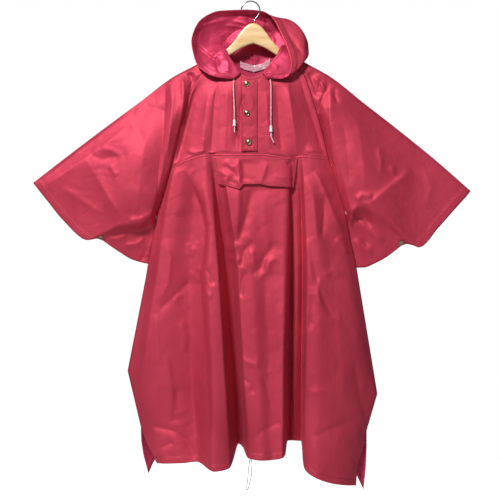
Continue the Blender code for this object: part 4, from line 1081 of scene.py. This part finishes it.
SKIRT_CREASES = (
    # path (x, z), half widths on its left and right, height towards the viewer
    (((-185, -455), (-156, -502), (-135, -548), (-122, -605), (-123, -653), (-134, -729), (-131, -791),
      (-126, -867), (-118, -967), (-112, -1075), (-108, -1183)), 60, 5, -17),     # the left panel's bright edge
    (((-205, -440), (-222, -520), (-238, -620), (-254, -740), (-280, -900), (-296, -1040)), 9, 75, 13),
    (((-108, -430), (-88, -560), (-66, -718), (-52, -880), (-42, -1020), (-36, -1150)), 13, 11, -15),
    (((108, -430), (110, -560), (110, -718), (106, -880), (103, -1230)), 9, 5, -7),
    (((134, -430), (140, -718), (137, -1020), (136, -1230)), 5, 7, -7),
    (((-104, -440), (-100, -560), (-88, -718), (-78, -880), (-70, -1020), (-60, -1180)), 18, 3, 11),
    (((-77, -425), (-56, -560), (-34, -718), (-26, -880), (-18, -1020), (-6, -1180)), 3, 16, 11),
    (((104, -430), (103, -560), (101, -718), (95, -1020), (93, -1180)), 16, 3, 8),
    (((141, -430), (146, -560), (152, -718), (148, -1020), (144, -1200)), 3, 14, 8),
    (((-31, -497), (-31, -548), (-34, -594), (-40, -640)), 32, 6, 5.5),   # a rounded tongue below the flap
    (((4, -497), (-2, -535), (-10, -575), (-23, -621), (-34, -650)), 10, 12, -7.5),
    (((-58, -610), (-50, -640), (-30, -655), (-12, -645)), 10, 8, -5.1),
    (((31, -508), (36, -575), (47, -656), (50, -740)), 16, 26, 5),
    (((69, -645), (42, -683), (25, -718), (-2, -740)), 6, 12, -6.1),   # sharp crinkles in the middle
    (((75, -690), (55, -700), (40, -730), (20, -752)), 6, 6, 4.4),
    (((6, -643), (-18, -675), (-29, -718)), 8, 8, -5.8),
    (((-12, -726), (-23, -759), (-26, -800)), 9, 6, -5.8),
    (((-61, -672), (-39, -659), (-15, -651)), 6, 8, 4.4),
    (((-60, -690), (-35, -700), (-22, -690)), 6, 8, 4.4),
    (((0, -670), (8, -695), (4, -715)), 6, 6, 4.1),
    (((48, -690), (44, -715), (50, -735)), 6, 6, 4.1),
    (((47, -748), (52, -821), (66, -915), (69, -1021), (60, -1130)), 5, 16, 4.2),
    (((-151, -742), (-194, -783), (-250, -834)), 9, 15, -5.4),
    (((-186, -800), (-196, -790), (-206, -815)), 6, 6, 3.4),
    (((-256, -842), (-253, -913), (-249, -983)), 9, 12, 4.4),
    (((-231, -640), (-215, -690), (-222, -760), (-250, -815)), 18, 5, 3.6),
    (((-170, -650), (-166, -672), (-172, -690)), 4, 6, 3.7),
    (((-150, -660), (-160, -690)), 4, 4, 3.4),
    (((-140, -715), (-130, -735), (-137, -760)), 4, 6, 4.4),
    (((-118, -720), (-108, -745), (-101, -765)), 4, 6, -4.4),
    (((-128, -765), (-117, -790), (-106, -800)), 4, 6, 4.1),
    (((-294, -1144), (-250, -1148), (-201, -1160), (-174, -1181), (-147, -1240)), 14, 8, -6.8),
    (((-227, -953), (-214, -1043), (-199, -1128)), 14, 6, 4.2),
    (((-200, -1041), (-204, -1090), (-207, -1140)), 8, 14, -5.1),
    (((-207, -1187), (-232, -1200), (-255, -1208)), 9, 6, -5.1),
    (((-165, -900), (-160, -1000), (-150, -1110), (-140, -1200)), 26, 16, -5),
    (((-190, -860), (-178, -900), (-180, -950)), 9, 12, 4.1),
    (((296, -1122), (228, -1148), (163, -1175)), 8, 18, -6.5),
    (((279, -967), (290, -1034), (305, -1114)), 9, 12, -5.1),
    (((163, -791), (155, -840), (150, -890)), 8, 8, -5.4),
    (((167, -701), (187, -778), (219, -856)), 9, 12, -5.4),
    (((150, -640), (158, -700), (163, -760)), 12, 8, 4.4),
    (((171, -456), (187, -481), (203, -518), (225, -578), (249, -618)), 15, 9, 8.5),
    (((201, -518), (198, -575), (193, -643)), 15, 8, -6.8),
    (((150, -470), (168, -520), (176, -590), (180, -650)), 14, 10, 4),
    (((229, -640), (250, -655), (262, -680)), 6, 9, 4.4),
    (((195, -740), (225, -725), (240, -745)), 6, 9, 4.1),
    (((187, -745), (182, -790), (190, -820)), 6, 6, 4.1),
    (((235, -800), (240, -900), (250, -1000), (252, -1100)), 30, 30, 5),
    (((31, -1007), (52, -1069), (77, -1148)), 8, 10, -5.1),
    (((-32, -960), (-5, -975), (25, -985)), 8, 8, 3.7),
    (((-26, -1010), (0, -1035), (10, -1060)), 6, 8, -3.7),
    (((84, -1130), (30, -1160), (-20, -1195)), 9, 14, -4.4),
    (((150, -1060), (200, -1050), (262, -1065)), 9, 15, 4.1),
)
skirt = skirt_grid(np.linspace(0, 1, 215), finer=4)
calm = edges_fade(skirt.shape, across=(0.02, 0.02), down=(0.03, 0.01))
skirt = creased(skirt, SKIRT_CREASES, calm)
for chance in (
    {"count": 110, "seed": 23, "length": 90, "height": 0.6, "lean": 1.2},
    {"count": 200, "seed": 29, "length": 36, "height": 0.7, "lean": 0.9},
):
    skirt = creased(skirt, crumples((-320, 330), (-1290, -440), **chance), calm)
skirt = seen(skirt)
cloth("skirt_nylon", skirt, [face, inside], "front_skirt",
      hems=(("foot", BODY_HEM), ("top", SKIRT_STITCH)))
seam_rows.append((skirt, "top", SKIRT_STITCH))
stitches("yoke_seam_stitches", seam_rows)
stitches("front_hem_stitches", [(skirt, "foot", BODY_HEM)])

# The pocket flap: a wide flap that covers the slot of the front pocket, stitched along its
# top edge just below the yoke's seam. Its lower edge hangs free and is a little wavy.
FLAP_TOP = ((-102, -418), (-20, -417), (60, -421), (127, -423))
FLAP_FOOT = ((-86, -491), (-57, -499), (-29, -507), (-19, -493), (27, -493), (49, -498), (116, -502))
FLAP_LIFT = (3.0, 7.0)
FLAP_STITCH = 6.0
FLAP_TOP_STITCH = 4.0


def flap_grid(host, rows, columns):
    """The flap: straight lines from its top edge to its lower one, lying on the skirt."""
    top, foot = np.asarray(FLAP_TOP, float), np.asarray(FLAP_FOOT, float)
    top_x = top[0, 0] + (top[-1, 0] - top[0, 0]) * columns
    foot_x = foot[0, 0] + (foot[-1, 0] - foot[0, 0]) * columns
    x = top_x + (foot_x - top_x) * rows
    top_z, foot_z = np.interp(top_x, *top.T), np.interp(foot_x, *foot.T)
    lift = np.broadcast_to(FLAP_LIFT[0] + (FLAP_LIFT[1] - FLAP_LIFT[0]) * rows, x.shape)
    return lie_on(host, x, top_z + (foot_z - top_z) * rows, lift)


calm_skirt = seen(skirt_grid(np.linspace(0, 0.3, 60), finer=4))
flap = flap_grid(calm_skirt, np.linspace(0, 1, 30)[:, None], np.linspace(0, 1, 90)[None, :])
FLAP_CREASES = (
    # path (x, z), half widths on its left and right, height towards the viewer
    (((-29, -424), (-26, -460), (-29, -500)), 12, 4, 5.2),
    (((-27, -424), (-27, -460), (-24, -492)), 3, 40, -6),
    (((-77, -440), (-45, -459), (-34, -480)), 7, 6, -3.2),
    (((-93, -454), (-61, -470), (-77, -492)), 6, 7, 3.2),
    (((-69, -427), (-50, -448), (-44, -440)), 5, 5, 2.6),
    (((-60, -480), (-45, -490), (-35, -486)), 5, 5, -2.6),
    (((47, -432), (36, -467), (25, -492)), 34, 5, 3.2),
    (((110, -426), (107, -436), (98, -440)), 5, 5, -3.4),
    (((60, -470), (90, -475), (112, -470)), 10, 10, 1.6),
)
flap = creased_in_place(flap, FLAP_CREASES, edges_fade(flap.shape, across=(0.05, 0.05), down=(0.08, 0)))
edges = (("foot", FLAP_STITCH), ("left", FLAP_STITCH), ("right", FLAP_STITCH), ("top", FLAP_TOP_STITCH))
cloth("pocket_flap_nylon", flap, [face, inside], "pocket_flap", hems=edges)
stitches("flap_stitches", [(flap, *edge) for edge in edges])

# The back: one plain panel of nylon from the neck to the hem, which hangs in soft waves. Its
# inner face shows at the slits and below the front's hem.
RAGLAN_ON_BACK = (0.0, 0.03, 0.06, 0.10, 0.16, 0.25, 0.38, 0.45, 0.51)
SLIT_BACK_LEFT = ((0.94, -295, -1185, 3), (0.97, -289, -1224, 5), (1.0, -276, -1273, 7))
SLIT_BACK_RIGHT = ((0.94, 313, -1205, 3), (0.97, 311, -1256, 5), (1.0, 305, -1316, 7))
BACK_LEVELS = (0.0, 0.24, 0.52, 0.80, 1.0)
BACK_HEIGHTS = (-420, -718, -1000)
BACK_FOLDS = (
    # name, neckline, x, height of the hem, depths
    ("left side", (-57, -144, 12), (-188, -243, -292, -250), -1224, (29, 28, 28, 26)),
    ("left wave", (-42, -154, 20), (-130, -165, -200, -185), -1192, (33, 36, 37, 34)),
    ("left hollow", (-18, -169, 27), (-65, -80, -100, -95), -1184, (30, 30, 29, 26)),
    ("middle wave", (9, -176, 29), (2, 4, 5, 8), -1183, (33, 36, 37, 36)),
    ("right hollow", (36, -169, 27), (68, 88, 108, 108), -1184, (30, 30, 29, 26)),
    ("right wave", (52, -157, 20), (130, 172, 210, 200), -1196, (33, 36, 37, 34)),
    ("right side", (68, -144, 12), (186, 250, 302, 266), -1245, (29, 28, 28, 26)),
)


def back_edge(raglan, side, slit, rows):
    """One side edge of the back: the raglan seam, the side seam and the slit."""
    levels = RAGLAN_ON_BACK + tuple(row[1] for row in side) + tuple(row[0] for row in slit)
    places = [(x, z, depth) for x, z, _, depth in raglan]
    places += [row[2:] for row in side]
    places += [row[1:] for row in slit]
    return straight(levels, by_depth(places), rows)


def back_grid(rows, finer):
    """The back, side edge to side edge."""
    lines = [back_edge(RAGLAN_LEFT, SIDE_LEFT, SLIT_BACK_LEFT, rows)]
    for _, neckline, across, hem, depths in BACK_FOLDS:
        z = (neckline[1],) + BACK_HEIGHTS + (hem,)
        points = np.stack([(neckline[0],) + across, (neckline[2],) + depths, z], axis=1)
        lines.append(smooth(BACK_LEVELS, points, rows))
    lines.append(back_edge(RAGLAN_RIGHT, SIDE_RIGHT, SLIT_BACK_RIGHT, rows))
    return between(lines, [finer] * (len(lines) - 1))


back = back_grid(np.linspace(0, 1, 190), finer=20)
calm = edges_fade(back.shape, across=(0.05, 0.05), down=(0.06, 0.01))
chance = crumples((-320, 330), (-1200, -200), count=150, seed=31, length=110, height=1.2, lean=1.3)
back = seen(creased(back, chance, calm, outward=1))
cloth("back_nylon", back, [face, inside], "back_panel", flip=True,
      hems=(("foot", BODY_HEM), ("top", SEAM_TURN)))
stitches("hem_stitches_back", [(back, "foot", BODY_HEM)], behind=True)

# The sleeves: wide and short, cut in one with the shoulder and joined at the raglan seams.
# They hang from the hanger's ends; below the full front the cloth rolls under to the arm.
SLEEVE_LEVELS = (0.0, 0.04, 0.12, 0.25, 0.55, 0.80, 0.86, 1.0)
SLEEVE_STATIONS = {
    # top, near, upper, middle, roll, recess, low: x, z
    "left": (
        ((-145, -169), (-158, -200), (-188, -259), (-232, -400), (-272, -583), (-280, -610), (-301, -702)),
        ((-210, -204), (-215, -221), (-237, -281), (-276, -427), (-296, -594), (-304, -618), (-326, -693)),
        ((-299, -271), (-299, -289), (-307, -346), (-323, -475), (-323, -595), (-331, -621), (-350, -678)),
        ((-399, -345), (-394, -359), (-388, -405), (-374, -508), (-355, -601), (-363, -620), (-377, -660)),
        ((-498, -420), (-489, -432), (-469, -470), (-428, -548), (-390, -617), (-393, -628), (-400, -644)),
        ((-587, -489), (-577, -502), (-550, -536), (-504, -592), (-442, -643), (-431, -642), (-417, -638)),
    ),
    "right": (
        ((147, -164), (163, -194), (187, -254), (236, -400), (274, -568), (282, -599), (308, -717)),
        ((216, -203), (220, -221), (239, -278), (279, -427), (297, -539), (306, -589), (336, -706)),
        ((306, -274), (308, -292), (313, -348), (325, -470), (333, -558), (341, -610), (364, -691)),
        ((406, -352), (402, -367), (394, -419), (379, -521), (375, -585), (379, -621), (390, -672)),
        ((503, -431), (494, -446), (472, -489), (434, -567), (413, -625), (411, -640), (410, -657)),
        ((594, -511), (583, -525), (553, -558), (507, -610), (454, -663), (440, -658), (424, -653)),
    ),
}
SLEEVE_FRONT = (
    # crown, near, upper, middle, roll, recess, low
    (-8, -13, -27, -37, -34, -13, -4), (-7, -12, -27, -42, -40, -15, -4), (-3, -9, -23, -40, -42, -17, -4),
    (-3, -8, -18, -32, -38, -18, -5), (-3, -7, -13, -22, -28, -20, -8), (-3, -6, -9, -14, -18, -16, -10),
)
SLEEVE_BACK = (
    (8, 13, 20, 26, 22, 18, 4), (7, 12, 20, 26, 22, 18, 4), (3, 9, 18, 24, 20, 16, 4),
    (3, 8, 15, 20, 16, 12, 4), (3, 7, 12, 15, 12, 9, 4), (3, 6, 9, 11, 10, 8, 4),
)
RAGLAN_ON_SLEEVE = (0.06, 0.10, 0.15, 0.22, 0.35, 0.55, 0.77, 0.89, 1.0)
CROWN_SHARE = 0.25
SEAM_REACHES = (-4.0, 1.5)
SLEEVE_COLUMNS = (1, 4, 3, 3, 3, 3, 3)
SHOULDER_NECK = {"left": (-70, -123), "right": (82, -122)}
SHOULDER_HALF_WIDTH = 9.5
SHOULDER_DROP = 3.0
SHOULDER_LEVEL = 0.03
SLEEVE_CUT = (0.64, 0.80)       # in metres: along the shoulder, and across front and back laid open
SLEEVE_SNAPS = {"left": (-404, -634), "right": (407, -650)}     # x, z
SLEEVE_SNAP_LIFT = 2.25
TACKS = {                       # white tacking thread at the seam's bend: x and z of its ends
    "left": ((-256, -578), (-252, -587)),
    "right": ((256, -566), (258, -574)),
}
TACK_THREAD = 1.6
TACK_WHITE = (0.85, 0.82, 0.80)
TACK_PROUD = 0.9
CUFF_HEM = 24.0
RAGLAN_STITCH = 6.0


def half_sleeve(side, raglan, rows, depths, depth_column, sign):
    """The front or the back of a sleeve: a line down it at each seam reach and station."""
    outward = -1 if side == "left" else 1
    top_x, top_z = SHOULDER_NECK[side]
    lines = []
    for reach in SEAM_REACHES:
        head = (top_x + outward * reach, 0.0, top_z)
        crown = (head[0], -sign * SHOULDER_HALF_WIDTH, top_z - SHOULDER_DROP)
        seam = by_depth(raglan, depth_column) + (outward * reach, sign * LAP, 0)
        lines.append(straight((0.0, SHOULDER_LEVEL) + RAGLAN_ON_SLEEVE, np.vstack([head, crown, seam]), rows))
    for places, depth in zip(SLEEVE_STATIONS[side], depths):
        places = np.asarray(places, float)
        crown = places[0] + (places[1] - places[0]) * CROWN_SHARE
        x, z = np.vstack([places[0], crown, places[1:]]).T
        points = np.stack([x, np.concatenate([[0.0], depth]), z], axis=1)
        lines.append(smooth(SLEEVE_LEVELS, points, rows))
    return lines


def sleeve_grid(side, raglan, front_rows, back_rows, finer):
    """One sleeve, from its front lower edge over the shoulder fold to its back one."""
    outward = -1 if side == "left" else 1
    top_x, top_z = SHOULDER_NECK[side]
    front = half_sleeve(side, raglan, front_rows, SLEEVE_FRONT, 2, 1)
    behind = half_sleeve(side, raglan, back_rows, SLEEVE_BACK, 3, -1)
    ridge = [(top_x + outward * reach, 0.0, top_z) for reach in SEAM_REACHES]
    ridge += [(places[0][0], 0.0, places[0][1]) for places in SLEEVE_STATIONS[side]]
    lines = [np.vstack([f[::-1], [peak], b]) for f, peak, b in zip(front, ridge, behind)]
    return between(lines, [finer * count for count in SLEEVE_COLUMNS])


SLEEVE_CREASES = {
    # path (x, z), half widths on its left and right, height towards the viewer
    "left": (
        (((-168, -250), (-190, -321), (-205, -380), (-220, -443), (-256, -560)), 22, 5, 8),
        (((-228, -215), (-231, -292), (-236, -373), (-245, -440), (-253, -520)), 50, 4, -8),
        (((-215, -208), (-212, -278), (-218, -346), (-226, -420)), 6, 14, 6),
        (((-183, -200), (-180, -265), (-191, -325)), 10, 8, 8),
        (((-165, -190), (-158, -215), (-165, -240)), 7, 7, -6.4),
        (((-172, -186), (-150, -192), (-140, -205)), 6, 7, 4.8),
        (((-454, -404), (-416, -467), (-381, -532), (-347, -583)), 26, 9, 5),
        (((-270, -300), (-290, -400), (-296, -470), (-312, -575)), 80, 40, 7),
        (((-320, -330), (-420, -405), (-500, -460), (-570, -508)), 26, 110, 16.0),
        (((-470, -400), (-400, -425), (-330, -410)), 10, 22, -4),
        (((-290, -282), (-250, -290), (-225, -300)), 6, 8, -4.2),
        (((-299, -285), (-305, -297), (-310, -306)), 4, 4, 3.8),
        (((-405, -395), (-375, -402), (-345, -420)), 6, 8, 3.5),
        (((-380, -440), (-370, -460), (-360, -470)), 4, 6, 3.2),
        (((-510, -500), (-450, -540), (-395, -575)), 16, 10, 3.6),
        (((-256, -565), (-300, -588), (-330, -592)), 7, 7, 4.8),
        (((-285, -640), (-310, -655), (-345, -660)), 7, 8, 5.4),
        (((-275, -665), (-290, -690), (-300, -700)), 6, 7, -4.8),
        (((-262, -640), (-270, -665), (-285, -690)), 6, 7, 4.8),
        (((-335, -632), (-360, -640), (-385, -640)), 7, 8, 4.8),
    ),
    "right": (
        (((212, -218), (195, -260), (182, -300)), 8, 8, -8),
        (((182, -290), (193, -346), (206, -400), (222, -460)), 5, 10, -8),
        (((214, -220), (214, -319), (222, -400), (233, -467), (246, -530)), 7, 32, 7.5),
        (((249, -330), (263, -413), (271, -500)), 24, 12, -4),
        (((284, -305), (301, -400), (311, -510)), 30, 46, 6),
        (((436, -454), (382, -494), (333, -535), (301, -556)), 8, 44, 6),
        (((330, -525), (300, -522), (285, -538)), 7, 8, 6.4),
        (((258, -570), (290, -556), (312, -545)), 7, 8, 5.4),
        (((258, -572), (300, -585), (330, -605)), 7, 10, -5.4),
        (((262, -585), (290, -620), (320, -660)), 7, 10, -5.4),
        (((290, -590), (320, -620), (360, -650)), 7, 10, 5.4),
        (((280, -640), (300, -665), (330, -680)), 7, 10, 4.8),
        (((156, -190), (170, -222), (182, -262)), 7, 11, -8),
        (((172, -203), (192, -222), (204, -243)), 6, 7, 6.4),
        (((190, -208), (184, -235), (184, -254)), 6, 6, -5.8),
        (((227, -230), (228, -255), (236, -275)), 6, 6, -4.8),
        (((345, -390), (352, -430), (350, -465)), 6, 8, 3.5),
        (((381, -440), (386, -470)), 6, 6, 3.2),
        (((470, -450), (486, -500), (470, -560)), 16, 16, 2.6),
    ),
}
white_thread = spun_thread("white_thread", TACK_WHITE)
front_rows = np.concatenate([[0.01, 0.02], np.linspace(0.03, 1, 118)])
back_rows = np.concatenate([[0.01, 0.02], np.linspace(0.03, 1, 68)])
FRONT = slice(len(front_rows))                  # the rows of a sleeve's grid that are its front
BEHIND = slice(len(front_rows) + 1, None)       # and its back, past the fold on the shoulder
for side, raglan in (("left", RAGLAN_LEFT), ("right", RAGLAN_RIGHT)):
    grid = sleeve_grid(side, raglan, front_rows, back_rows, finer=6)
    panel = ((-590, -60) if side == "left" else (70, 590)), (-710, -150)
    calm = edges_fade(grid[FRONT].shape, across=(0.07, 0.01), down=(0.01, 0.06))
    grid[FRONT] = creased(grid[FRONT], SLEEVE_CREASES[side], calm)
    grid[FRONT] = creased(grid[FRONT], crumples(*panel, count=90, seed=41, length=60, height=0.7), calm)
    calm = edges_fade(grid[BEHIND].shape, across=(0.07, 0.01), down=(0.06, 0.01))
    chance = crumples(*panel, count=60, seed=47, length=80, height=0.9)
    grid[BEHIND] = creased(grid[BEHIND], chance, calm, outward=1)
    grid = seen(grid)
    cloth("sleeve_nylon_" + side, grid, [face, inside], "sleeve_" + side, flip=side == "right",
          cut=SLEEVE_CUT, hems=(("right", CUFF_HEM), ("left", RAGLAN_STITCH)))
    front_edges = [(grid[FRONT], "right", CUFF_HEM), (grid[FRONT], "left", RAGLAN_STITCH)]
    stitches("cuff_stitches_" + side, front_edges)
    back_edges = [(grid[BEHIND], "right", CUFF_HEM)]
    stitches("cuff_stitches_" + side + "_back", back_edges, behind=True)
    calm_front = seen(sleeve_grid(side, raglan, front_rows, back_rows, finer=3))[FRONT]
    make_snap("snap_sleeve_" + side, calm_front, *SLEEVE_SNAPS[side], SLEEVE_SNAP_LIFT)
    ends = straight((0, 1), TACKS[side], np.linspace(0, 1, 12))
    tack = tube_mesh("tack", lie_on(grid[FRONT], *ends.T, TACK_PROUD), TACK_THREAD * MM / 2, sides=8)
    put("seam_tack_" + side, tack, [white_thread], None)
